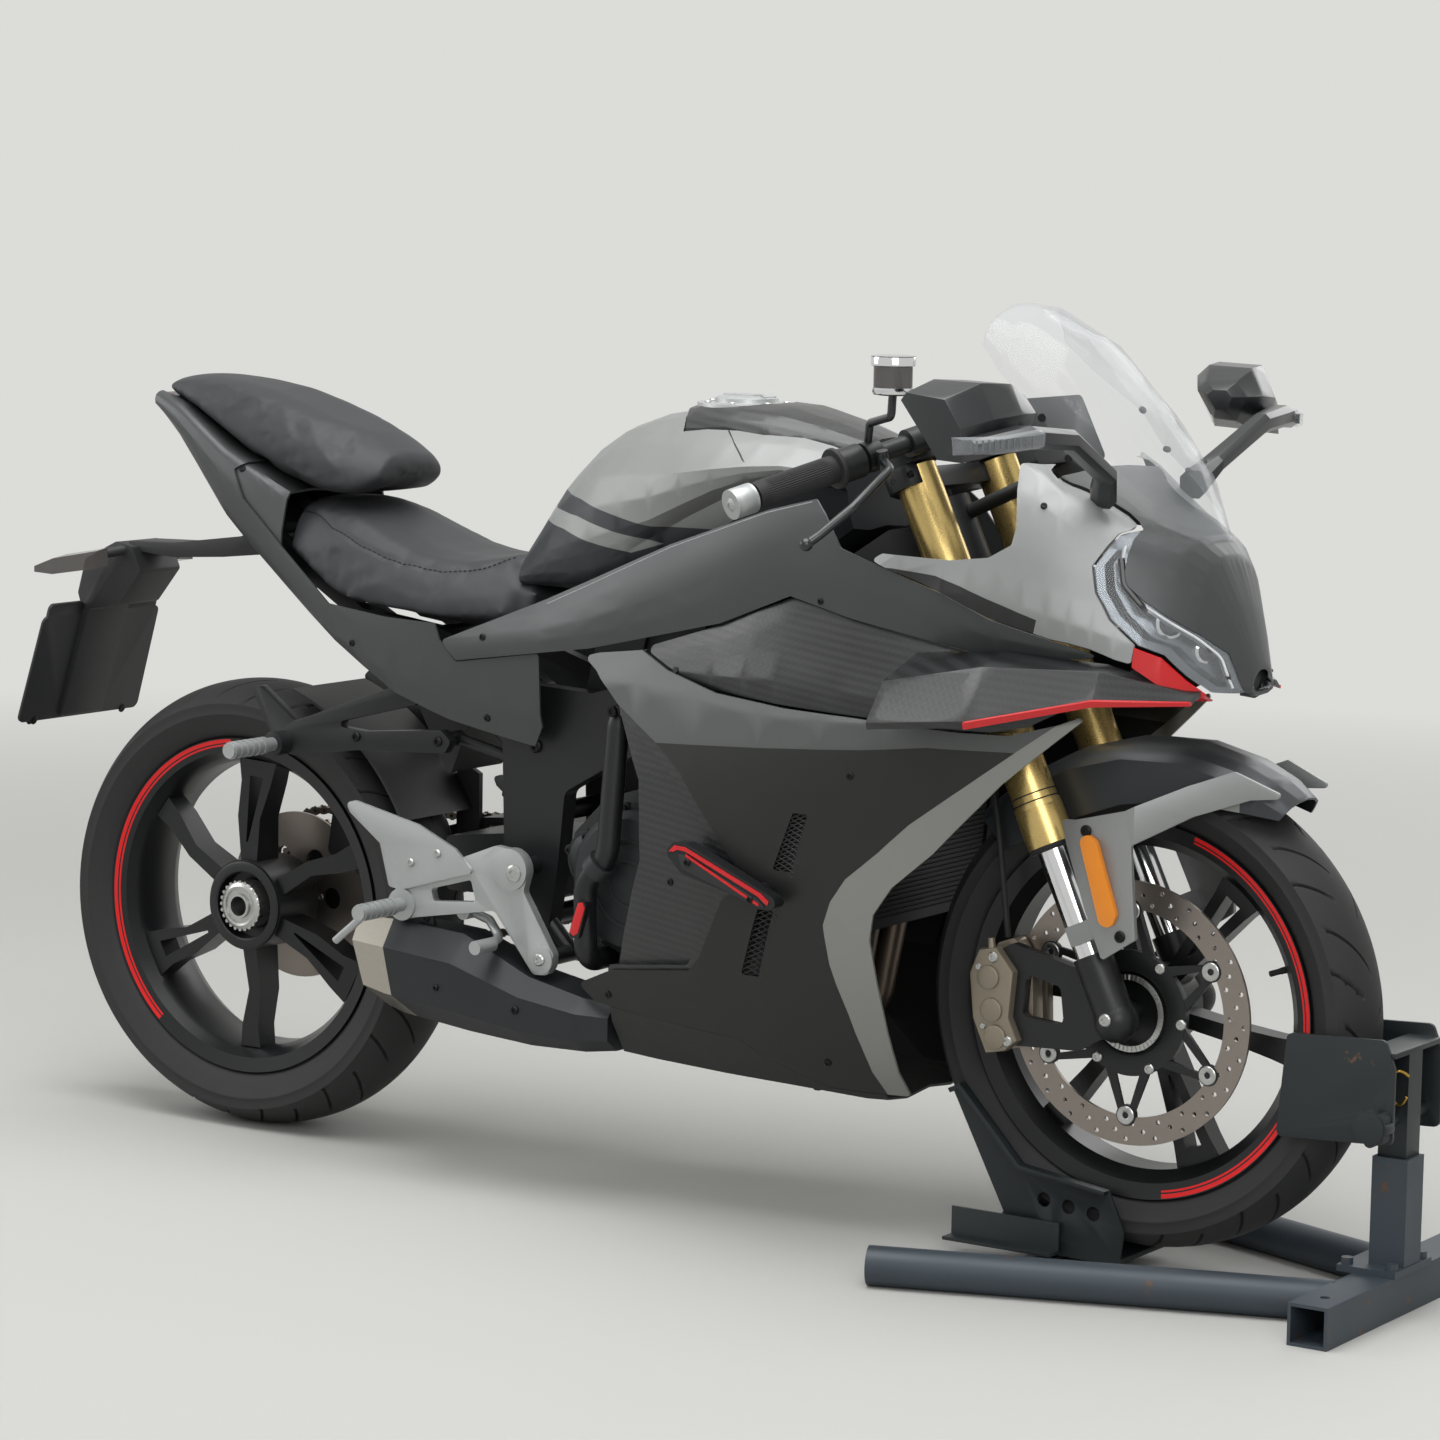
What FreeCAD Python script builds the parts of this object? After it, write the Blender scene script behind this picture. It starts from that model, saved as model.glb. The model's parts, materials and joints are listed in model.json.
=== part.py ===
"""Sport bike held upright in a front wheel chock, built from its separate pieces.

Millimetres. While it is built, X runs forward from the rear axle, Y to the rider's left and Z up
from the floor. At the end every piece is moved by the same amount, so that the origin lies on the
floor under the middle of the whole object.
"""
import FreeCAD, Part
import math
import os
from FreeCAD import Vector as V

# Wheels and steering geometry
WHEELBASE = 1370.0
REAR_TYRE_R = 306.0
REAR_TYRE_WIDTH = 150.0
FRONT_TYRE_R = 293.0
FRONT_TYRE_WIDTH = 112.0
RIM_FLANGE_R = 229.0
BEAD_R = 216.0
REAR_RIM_WIDTH = 120.0
FRONT_RIM_WIDTH = 88.0
RIM_WALL = 6.0
BEAD_SEAT = 9.0
SPOKES = 6
RAKE = 25.0
FORK_HALF_SPACING = 98.0
FORK_OFFSET = 35.0
RUNNING_FIT = 0.05
SEAT_GAP = 0.3
MOVING_GAP = 6.0

# Brakes and drive
FRONT_DISC_R = 160.0
FRONT_DISC_Y = -62.0
REAR_DISC_R = 115.0
REAR_DISC_Y = 66.0
DISC_THICKNESS = 4.5
SPROCKET_R = 96.0
SPROCKET_TEETH = 44
CHAIN_Y = 136.0
CHAIN_WIDTH = 18.0
CHAIN_HEIGHT = 15.0
CHAIN_FRONT_X, CHAIN_FRONT_Z = 640.0, 413.0
FRONT_SPROCKET_R = 34.0

# Fork, bars and controls
OUTER_TUBE_R = 27.5
SLIDER_R = 20.0
FOOT_R = 24.0
SLIDER_LOW, SLIDER_TOP = 78.0, 218.0
OUTER_TUBE_TOP = 700.0
LOWER_CLAMP, UPPER_CLAMP = 496.0, 690.0
CLAMP_THICKNESS = 26.0
STEM_R = 15.0
HEAD_TUBE_R = 34.0
BAR_R = 11.0
GRIP_R = 17.0
BAR_WEIGHT_R = 18.0
PERCH_R = 19.0
LEVER_HINGE_R = 7.0
AXLE_R = 11.0

# Frame and running gear
PIVOT_X, PIVOT_Z = 505.0, 405.0
ARM_IN, ARM_OUT = 84.0, 122.0
FRAME_OUT, FRAME_IN = 105.0, 78.0
PANEL_WALL = 3.0
REARSET_Y = 146.0
PEG_PLATE_Y = 112.0
SCREEN_WALL = 3.0

# Front wheel chock
CHOCK_TUBE = 50.0
CHOCK_LEG_R = 24.0
CHOCK_FRONT_X = 1690.0
CHOCK_HALF_WIDTH = 216.0
CHOCK_LIFT = 31.5
CHEEK_Y = 62.0

STAND_PIVOT = V(566, 128, 262)
STAND_FOLDED = V(-238, 10, -2)
STAND_DOWN = V(0.05, 0.40, -0.915)
STAND_OUT = STAND_DOWN.cross(STAND_FOLDED).normalize()

REAR_AXLE = V(0, 0, REAR_TYRE_R)
FRONT_AXLE = V(WHEELBASE, 0, FRONT_TYRE_R + CHOCK_LIFT)
UP_FORK = V(-math.sin(math.radians(RAKE)), 0, math.cos(math.radians(RAKE)))
AHEAD_FORK = V(math.cos(math.radians(RAKE)), 0, math.sin(math.radians(RAKE)))
SIDEWAYS = V(0, 1, 0)


def on_fork(up, y, ahead=0.0):
    """A point measured up the fork leg from the front axle, sideways, and ahead of the leg."""
    return FRONT_AXLE + UP_FORK * up + AHEAD_FORK * ahead + V(0, y, 0)


def outline(points, corner=0.0):
    """Closed wire through points, each corner rounded as far as its two sides allow."""
    count = len(points)
    turns = []
    for i, point in enumerate(points):
        before = points[i - 1] - point
        after = points[(i + 1) % count] - point
        side = min(before.Length, after.Length)
        before.normalize()
        after.normalize()
        half = before.getAngle(after) / 2
        if corner <= 0 or half > math.radians(86) or half < math.radians(3):
            turns.append((point, point, None))
            continue
        setback = min(corner / math.tan(half), 0.45 * side)
        radius = setback * math.tan(half)
        inward = (before + after).normalize()
        middle = point + inward * (radius / math.sin(half) - radius)
        turns.append((point + before * setback, point + after * setback, middle))
    edges = []
    for i, (start, end, middle) in enumerate(turns):
        if middle is not None:
            edges.append(Part.Arc(start, middle, end).toShape())
        following = turns[(i + 1) % count][0]
        if (following - end).Length > 1e-6:
            edges.append(Part.makeLine(end, following))
    return Part.Wire(edges)


def prism(points, along, corner=0.0):
    """Solid of a flat outline pushed along a vector."""
    return Part.Face(outline(points, corner)).extrude(along)


def side_prism(outline_xz, y0, y1, corner=0.0):
    """Solid of a side view outline between two widths."""
    return prism([V(x, y0, z) for x, z in outline_xz], V(0, y1 - y0, 0), corner)


def plan_prism(outline_xy, z0, z1, corner=0.0):
    """Solid of a plan view outline between two heights."""
    return prism([V(x, y, z0) for x, y in outline_xy], V(0, 0, z1 - z0), corner)


def rod(start, end, radius):
    """Round bar between two points."""
    return Part.makeCylinder(radius, (end - start).Length, start, end - start)


def bent_bar(points, radius, bend):
    """Round bar along straight runs joined by bends."""
    pieces = []
    at = points[0]
    for i in range(1, len(points) - 1):
        before = points[i - 1] - points[i]
        after = points[i + 1] - points[i]
        side = min(before.Length, after.Length)
        before.normalize()
        after.normalize()
        half = before.getAngle(after) / 2
        setback = min(bend / math.tan(half), 0.45 * side)
        turn = setback * math.tan(half)
        centre = points[i] + (before + after).normalize() * (turn / math.sin(half))
        start, end = points[i] + before * setback, points[i] + after * setback
        disc = Part.Face(Part.Wire([Part.makeCircle(radius, start, before)]))
        elbow = disc.revolve(centre, before.cross(after) * -1, 180 - 2 * math.degrees(half))
        pieces += [rod(at, start, radius), elbow]
        at = end
    pieces.append(rod(at, points[-1], radius))
    return pieces[0].fuse(pieces[1:])


def revolved(profile, centre):
    """Ring turned about the sideways axis through centre. Columns: radius, sideways."""
    points = [centre + V(0, y, r) for r, y in profile]
    face = Part.Face(Part.makePolygon(points + [points[0]]))
    return face.revolve(centre, SIDEWAYS, 360)


def mirrored(shape):
    """The same piece on the other side of the bike."""
    return shape.mirror(V(0, 0, 0), SIDEWAYS)


def pair(shape):
    """A piece and its mirror image."""
    return [shape, mirrored(shape)]


def fused(shapes):
    """One solid of several that meet."""
    whole = shapes[0].fuse(shapes[1:]) if len(shapes) > 1 else shapes[0]
    return whole.removeSplitter()


def joined(shapes):
    """One solid of panels that meet, with their seams left in."""
    return shapes[0].fuse(shapes[1:])


def loft(stations, rims):
    """Solid through flat cross sections. Each rim is a list of (y, z) at its station."""
    wires = []
    for x, rim in zip(stations, rims):
        points = [V(x, y, z) for y, z in rim]
        wires.append(Part.makePolygon(points + [points[0]]))
    return Part.makeLoft(wires, True, True)


def inset(rim, wall):
    """Half section rim moved inwards by a wall. It runs from top centre round to bottom centre."""
    moved = []
    for i, (y, z) in enumerate(rim):
        ay, az = rim[i - 1] if i > 0 else (-rim[1][0], rim[1][1])
        by, bz = rim[i + 1] if i < len(rim) - 1 else (-rim[-2][0], rim[-2][1])
        first = V(z - az, ay - y, 0).normalize()
        second = V(bz - z, y - by, 0).normalize()
        both = (first + second) * (wall / (1 + first.dot(second)))
        moved.append((max(0.0, y + both.x) if 0 < i < len(rim) - 1 else 0.0, z + both.y))
    return moved


def softened(places, rows):
    """Rows of numbers at their places, with one more between each two on smooth curves."""
    last = len(rows) - 1
    slopes = []
    for i in range(last + 1):
        low, high = max(i - 1, 0), min(i + 1, last)
        slopes.append([(b - a) / (places[high] - places[low]) for a, b in zip(rows[low], rows[high])])
    more_places, more_rows = [places[0]], [rows[0]]
    for i in range(last):
        gap = places[i + 1] - places[i]
        more_places += [places[i] + gap / 2, places[i + 1]]
        more_rows.append(tuple((a + b) / 2 + (m - n) * gap / 8
                               for a, b, m, n in zip(rows[i], rows[i + 1], slopes[i], slopes[i + 1])))
        more_rows.append(rows[i + 1])
    return more_places, more_rows


def softened_rim(rim):
    """Half section rim with one more point between each two, level where it crosses the middle."""
    whole = [(-rim[1][0], rim[1][1])] + rim + [(-rim[-2][0], rim[-2][1])]
    lengths = [0.0]
    for (ay, az), (by, bz) in zip(whole, whole[1:]):
        lengths.append(lengths[-1] + math.hypot(by - ay, bz - az))
    return softened(lengths, whole)[1][2:-2]


class Envelope:
    """Half body shape that panels are cut from. Columns: station x, half section rim."""

    def __init__(self, sections):
        rims = [softened_rim(rim) for x, rim in sections]
        flat = [tuple(value for point in rim for value in point) for rim in rims]
        self.stations, rows = softened([x for x, rim in sections], flat)
        self.rims = [list(zip(row[0::2], row[1::2])) for row in rows]

    def solid(self, depth=0.0):
        """The half shape on the left, moved inwards by a depth."""
        rims = [inset(rim, depth) if depth else rim for rim in self.rims]
        return loft(self.stations, rims)

    def panel(self, outline_xz, wall, depth=0.0, corner=0.0, y0=5.0):
        """A wall of the shape inside a side view outline, starting a depth under the surface."""
        cutter = side_prism(outline_xz, y0, 400.0, corner)
        return self.solid(depth).common(cutter).cut(self.solid(depth + wall))


# Body shapes, half sections from top centre round to bottom centre: x, [(half width, z), ...]
FAIRING = Envelope([
    (560, [(0, 706), (150, 706), (160, 640), (165, 560), (165, 430), (160, 320), (140, 215), (0, 215)]),
    (740, [(0, 722), (172, 722), (200, 625), (205, 540), (205, 420), (185, 300), (135, 200), (0, 200)]),
    (940, [(0, 690), (203, 690), (228, 618), (230, 520), (218, 400), (180, 280), (115, 188), (0, 188)]),
    (1120, [(0, 680), (212, 680), (228, 640), (220, 540), (195, 410), (150, 280), (90, 185), (0, 185)]),
    (1280, [(0, 676), (185, 676), (190, 650), (180, 590), (165, 480), (135, 340), (85, 240), (0, 240)]),
    (1370, [(0, 700), (150, 700), (152, 665), (145, 620), (140, 520), (120, 400), (80, 300), (0, 300)])])

FLANK = Envelope([
    (400, [(0, 760), (120, 755), (140, 730), (150, 706), (150, 680), (140, 660), (0, 650)]),
    (553, [(0, 800), (110, 798), (130, 767), (150, 730), (152, 700), (140, 670), (0, 660)]),
    (700, [(0, 860), (120, 858), (146, 830), (162, 770), (160, 722), (150, 690), (0, 680)]),
    (850, [(0, 920), (140, 918), (163, 885), (176, 830), (175, 762), (160, 720), (0, 710)]),
    (954, [(0, 960), (145, 955), (170, 925), (182, 870), (180, 801), (165, 750), (0, 740)]),
    (1043, [(0, 965), (150, 960), (175, 930), (190, 870), (187, 782), (170, 740), (0, 730)]),
    (1120, [(0, 900), (150, 898), (180, 880), (197, 850), (190, 775), (170, 735), (0, 725)]),
    (1248, [(0, 860), (150, 858), (185, 840), (197, 800), (183, 750), (160, 725), (0, 715)]),
    (1400, [(0, 830), (100, 828), (130, 800), (150, 765), (150, 750), (130, 735), (0, 725)])])

SHOULDER = Envelope([
    (720, [(0, 740), (150, 738), (165, 722), (172, 712), (172, 700), (0, 690)]),
    (850, [(0, 775), (160, 772), (172, 758), (188, 720), (193, 684), (0, 650)]),
    (954, [(0, 815), (165, 812), (176, 797), (196, 740), (208.5, 674.5), (0, 640)]),
    (1120, [(0, 790), (165, 787), (184, 766), (204, 720), (216, 668.5), (0, 640)]),
    (1248, [(0, 770), (160, 767), (178, 745), (192, 705), (200, 664), (0, 635)]),
    (1370, [(0, 750), (130, 747), (145, 735), (152, 715), (155, 692), (0, 660)])])

NOSE = Envelope([
    (1060, [(0, 860), (150, 850), (185, 845), (200, 838), (203, 828), (150, 815), (0, 815)]),
    (1180, [(0, 1020), (100, 1010), (150, 985), (182, 930), (199, 860), (200, 800), (0, 780)]),
    (1250, [(0, 1000), (100, 990), (148, 980), (178, 915), (193, 860), (196, 790), (0, 760)]),
    (1310, [(0, 955), (85, 952), (140, 940), (168, 890), (180, 840), (182, 778), (0, 740)]),
    (1360, [(0, 925), (75, 922), (128, 905), (146, 868), (158, 820), (167, 768), (0, 730)]),
    (1410, [(0, 902), (55, 900), (98, 885), (115, 850), (128, 810), (144, 744), (0, 716)]),
    (1455, [(0, 872), (28, 870), (60, 852), (76, 825), (90, 785), (108, 712), (0, 700)]),
    (1500, [(0, 745), (8, 744), (16, 740), (22, 735), (26, 728), (28, 716), (0, 711)])])


def tyre(centre, radius, width, rim_width):
    """Road tyre with a round crown, seated on its rim. Columns: radius, half width."""
    half = width / 2
    bead = rim_width / 2 - BEAD_SEAT - SEAT_GAP
    sidewall = radius - BEAD_R
    crown = [(BEAD_R + SEAT_GAP, bead), (RIM_FLANGE_R + 1.5, bead), (BEAD_R + 0.68 * sidewall, half),
             (radius, 0.3 * half)]
    return revolved([(r, -y) for r, y in crown] + [(r, y) for r, y in reversed(crown)], centre)


def rim_barrel(centre, width):
    """Cast rim: flanges, bead seats and drop centre. Columns: radius, sideways."""
    half = width / 2
    outer = [(RIM_FLANGE_R, -half), (RIM_FLANGE_R, -half + 5), (BEAD_R, -half + BEAD_SEAT),
             (BEAD_R, -half * 0.55), (BEAD_R - 14, -half * 0.35), (BEAD_R - 14, half * 0.35),
             (BEAD_R, half * 0.55), (BEAD_R, half - BEAD_SEAT), (RIM_FLANGE_R, half - 5),
             (RIM_FLANGE_R, half)]
    inner = [(BEAD_R - RIM_WALL, half - 5), (BEAD_R - 14 - RIM_WALL, half * 0.5),
             (BEAD_R - 14 - RIM_WALL, -half * 0.5), (BEAD_R - RIM_WALL, -half + 5)]
    return revolved(outer + inner, centre)


def spoke(centre, angle, foot, root, slot, depth_root, depth_foot, shift, lean):
    """One cast spoke, turned to its place: it widens into the rim and may be split by a slot."""
    inner, outer = 40.0, BEAD_R - 14 - RIM_WALL + 2
    middle = (inner + outer) / 2
    side = [V(inner, 0, root), V(middle, 0, lean + foot * 0.30), V(outer - 30, 0, foot * 0.40),
            V(outer, 0, foot / 2), V(outer, 0, -foot / 2), V(outer - 30, 0, -foot * 0.40),
            V(middle, 0, lean - foot * 0.30), V(inner, 0, -root)]
    taper = Part.makePolygon([V(inner - 1, shift - depth_root, -90), V(outer + 1, shift - depth_foot, -90),
                              V(outer + 1, shift + depth_foot, -90), V(inner - 1, shift + depth_root, -90),
                              V(inner - 1, shift - depth_root, -90)])
    arm = prism([p + V(0, -100, 0) for p in side], V(0, 200, 0)).common(
        Part.Face(taper).extrude(V(0, 0, 180)))
    if slot:
        opening = [V(middle - 34, 0, lean + 1.5), V(outer - 22, 0, foot * 0.18),
                   V(outer - 22, 0, -foot * 0.18), V(middle - 34, 0, lean - 1.5)]
        arm = arm.cut(prism([p + V(0, -100, 0) for p in opening], V(0, 200, 0)))
    arm.rotate(V(0, 0, 0), SIDEWAYS, -angle)
    arm.translate(centre)
    return arm


def front_wheel():
    """Front tyre, cast wheel and the single floating brake disc on its right side."""
    face = FRONT_DISC_Y + 12
    hub = revolved([(66, face + SEAT_GAP), (66, face + 8), (48, face + 12), (48, 34), (30, 46),
                    (AXLE_R + RUNNING_FIT, 46), (AXLE_R + RUNNING_FIT, face), (48, face),
                    (48, face + SEAT_GAP)], FRONT_AXLE)
    # angle, foot width, half root, split, lean
    table = [(52, 62, 10, True, 0), (-10, 34, 9, False, 0), (-68, 62, 10, True, 0),
             (-130, 34, 9, False, 0), (172, 62, 10, True, 0), (110, 34, 9, False, 0)]
    spokes = [spoke(FRONT_AXLE, angle, foot, root, split, 20, 14, 0, lean)
              for angle, foot, root, split, lean in table]
    wheel = fused([rim_barrel(FRONT_AXLE, FRONT_RIM_WIDTH), hub] + spokes)
    half = DISC_THICKNESS / 2
    band = revolved([(FRONT_DISC_R, FRONT_DISC_Y - half), (FRONT_DISC_R, FRONT_DISC_Y + half),
                     (FRONT_DISC_R - 34, FRONT_DISC_Y + half), (FRONT_DISC_R - 34, FRONT_DISC_Y - half)],
                    FRONT_AXLE)
    carrier = revolved([(74, FRONT_DISC_Y - 3), (74, face), (50, face), (50, FRONT_DISC_Y - 3)], FRONT_AXLE)
    parts = [band, carrier]
    for i in range(SPOKES):
        arm = Part.makeBox(62, 5, 22, V(70, FRONT_DISC_Y - 2.5, -11))
        bobbin = rod(V(FRONT_DISC_R - 36, FRONT_DISC_Y - 5, 0), V(FRONT_DISC_R - 36, FRONT_DISC_Y + 5, 0), 11)
        for piece in (arm, bobbin):
            piece.rotate(V(0, 0, 0), SIDEWAYS, 30 + 60 * i)
            piece.translate(FRONT_AXLE)
            parts.append(piece)
    return {"front_tyre": [tyre(FRONT_AXLE, FRONT_TYRE_R, FRONT_TYRE_WIDTH, FRONT_RIM_WIDTH)],
            "front_rim": [wheel], "front_disc": [fused(parts)]}


def rear_wheel():
    """Rear tyre, cast wheel open on its right side, hub nut, and disc with sprocket on the left."""
    hub = revolved([(62, -52), (62, 30), (46, 46), (28.0, 46), (28.0, -30), (46, -34), (46, -52)], REAR_AXLE)
    # angle, foot width, half root, split, lean
    table = [(25, 34, 12, False, 10), (87, 64, 12, True, 8), (143, 34, 12, False, 10),
             (207, 64, 12, True, 8), (270, 34, 12, False, 10), (333, 64, 12, True, 8)]
    spokes = [spoke(REAR_AXLE, angle, foot, root, split, 24, 16, -22, lean)
              for angle, foot, root, split, lean in table]
    spokes = [arm.cut(rod(REAR_AXLE + V(0, -80, 0), REAR_AXLE + V(0, 80, 0), 58)) for arm in spokes]
    wheel = fused([rim_barrel(REAR_AXLE, REAR_RIM_WIDTH), hub] + spokes)
    spindle = revolved([(28.0, -30), (28.0, REAR_DISC_Y - 12), (28.0, 150), (17, 150), (17, -62), (24, -62),
                        (24, -56), (33, -56), (33, -34.5), (28, -34.5)], REAR_AXLE)
    half = DISC_THICKNESS / 2
    disc = revolved([(REAR_DISC_R, REAR_DISC_Y - half), (REAR_DISC_R, REAR_DISC_Y + half),
                     (28.2, REAR_DISC_Y + half), (28.2, REAR_DISC_Y - half)], REAR_AXLE)
    for i in range(SPOKES):
        window = rod(V(58, REAR_DISC_Y - 5, 0), V(58, REAR_DISC_Y + 5, 0), 15)
        window.rotate(V(0, 0, 0), SIDEWAYS, 60 * i)
        window.translate(REAR_AXLE)
        disc = disc.cut(window)
    teeth = []
    for i in range(SPROCKET_TEETH):
        for step, radius in ((0.0, SPROCKET_R - 5), (0.35, SPROCKET_R), (0.65, SPROCKET_R)):
            turn = 2 * math.pi * (i + step) / SPROCKET_TEETH
            teeth.append(REAR_AXLE + V(radius * math.cos(turn), CHAIN_Y - 3, radius * math.sin(turn)))
    sprocket = prism(teeth, V(0, 6, 0))
    sprocket = sprocket.cut(rod(REAR_AXLE, REAR_AXLE + V(0, 200, 0), 28.2))
    for i in range(SPOKES):
        window = rod(V(60, CHAIN_Y - 10, 0), V(60, CHAIN_Y + 10, 0), 16)
        window.rotate(V(0, 0, 0), SIDEWAYS, 60 * i + 30)
        window.translate(REAR_AXLE)
        sprocket = sprocket.cut(window)
    return {"rear_tyre": [tyre(REAR_AXLE, REAR_TYRE_R, REAR_TYRE_WIDTH, REAR_RIM_WIDTH)], "rear_rim": [wheel],
            "rear_spindle": [spindle], "rear_disc": [disc, sprocket]}


def frame():
    """Steel frame: head tube, two main spars, pivot plates and the seat rails."""
    side = [(1125, 800), (1078, 888), (1020, 880), (985, 850), (800, 705), (610, 650), (500, 655),
            (470, 600), (478, 350), (500, 325), (545, 330), (560, 420), (570, 520), (640, 560),
            (800, 628), (975, 730), (1090, 790)]
    plan = [(1130, -26), (1064, -32), (960, -FRAME_OUT), (440, -FRAME_OUT), (440, -FRAME_IN),
            (940, -FRAME_IN), (1010, -20), (1010, 20), (940, FRAME_IN), (440, FRAME_IN),
            (440, FRAME_OUT), (960, FRAME_OUT), (1064, 32), (1130, 26)]
    spars = side_prism(side, -120, 120, 14).common(plan_prism(plan, 200, 1000))
    low, high = on_fork(LOWER_CLAMP + 34, 0, -FORK_OFFSET), on_fork(UPPER_CLAMP - 26, 0, -FORK_OFFSET)
    head = rod(low, high, HEAD_TUBE_R)
    bore = rod(low - UP_FORK * 60, high + UP_FORK * 60, STEM_R + RUNNING_FIT)
    cross = [rod(V(x, -FRAME_IN - 10, z), V(x, FRAME_IN + 10, z), r)
             for x, z, r in ((500, 345, 13), (500, 620, 16), (505, 480, 13))]
    rails = []
    for y in (-66.0, 66.0):
        rail = [(505, 640), (330, 694), (212, 708), (60, 800), (-20, 866), (-12, 880), (75, 818),
                (220, 728), (338, 714), (500, 664), (530, 645), (520, 630)]
        rails.append(side_prism(rail, y - 9, y + 9, 6))
    ties = [rod(V(x, -70, z), V(x, 70, z), 9) for x, z in ((330, 704), (60, 811))]
    bridge = [rod(V(512, s * 60, 646), V(512, s * 95, 646), 10) for s in (-1, 1)]
    struts = []
    for s in (-1, 1):
        struts.append(rod(V(480, s * 91, 570), V(260, s * 66, 716), 9))
        struts.append(rod(V(484, s * 92, 552), V(384, s * 92, 574), 8))
        struts.append(rod(V(389, s * 87, 573), V(389, s * (PEG_PLATE_Y - SEAT_GAP), 573), 10))
        struts.append(rod(V(338, s * 66, 700), V(338, s * 84, 630), 8))
        struts.append(rod(V(338, s * 78, 630), V(338, s * (PEG_PLATE_Y - SEAT_GAP), 630), 8))
        struts.append(rod(V(525, s * 95, 422), V(525, s * (REARSET_Y - SEAT_GAP), 422), 11))
        struts.append(rod(V(540, s * 92, 345), V(574, s * 92, 311), 12.5))
        struts.append(rod(V(574, s * 82, 311), V(574, s * (REARSET_Y - SEAT_GAP), 311), 11))
    lug = STAND_PIVOT - STAND_OUT * 10.3
    struts += [rod(lug - STAND_OUT * 18, lug, 15), rod(V(548, 92, 338), lug - STAND_OUT * 14, 8)]
    whole = fused([spars, head] + cross + rails + ties + bridge + struts)
    return whole.cut(bore)


def engine():
    """Twin engine hung under the spars, with its round covers, radiator and header pipes."""
    case = side_prism([(600, 340), (590, 470), (640, 520), (720, 545), (860, 525), (885, 400),
                       (850, 330), (660, 290)], -112, 112, 12)
    upper = side_prism([(640, 500), (700, 600), (765, 706), (905, 662), (940, 590), (885, 500)], -64, 64, 8)
    sump = side_prism([(650, 300), (650, 262), (800, 252), (860, 335)], -80, 80, 10)
    block = fused([case, upper, sump])
    covers = []
    for y, table in ((-1, [(700, 420, 92, 34), (812, 430, 52, 22), (625, 440, 34, 16)]),
                     (1, [(800, 430, 74, 30), (CHAIN_FRONT_X, CHAIN_FRONT_Z, FRONT_SPROCKET_R - SEAT_GAP, 28)])):
        discs = []
        for x, z, radius, height in table:
            base = y * 112.0
            drum = rod(V(x, base, z), V(x, base + y * height * 0.7, z), radius)
            cap = Part.makeCone(radius, radius - 10, height * 0.3, V(x, base + y * height * 0.7, z), V(0, y, 0))
            discs.append(fused([drum, cap]))
        covers.append(fused(discs))
    tilt = [(1012, 400), (1046, 396), (1075, 690), (1041, 694)]
    core = side_prism(tilt, -125, 125)
    tanks = [side_prism([(1008, 396), (1050, 392), (1079, 694), (1037, 698)], s * 125, s * 145, 4)
             for s in (-1, 1)]
    bracket = side_prism([(1042, 690), (1062, 690), (1062, 775), (1042, 764.6)], -14, 14)
    radiator = fused([core, bracket] + tanks)
    pipes = []
    for y in (-34.0, 34.0):
        pipes.append(bent_bar([V(923, y, 626.5), V(975, y, 651), V(990, y, 430), V(960, y * 0.9, 268),
                               V(860, y * 0.75 - 4, 226), V(750, -66 + y * 0.5, 227)], 17.5, 52))
    collector = bent_bar([V(762, -66, 226), V(725, -78, 228), V(660, -110, 231)], 20, 60)
    collector = collector.cut(side_prism([(600, 150), (680.3, 150), (680.3, 320), (600, 320)], -200, 0))
    return {"engine_block": [block], "engine_covers": covers, "radiator": [radiator],
            "header_pipes": [fused(pipes + [collector])]}


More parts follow.
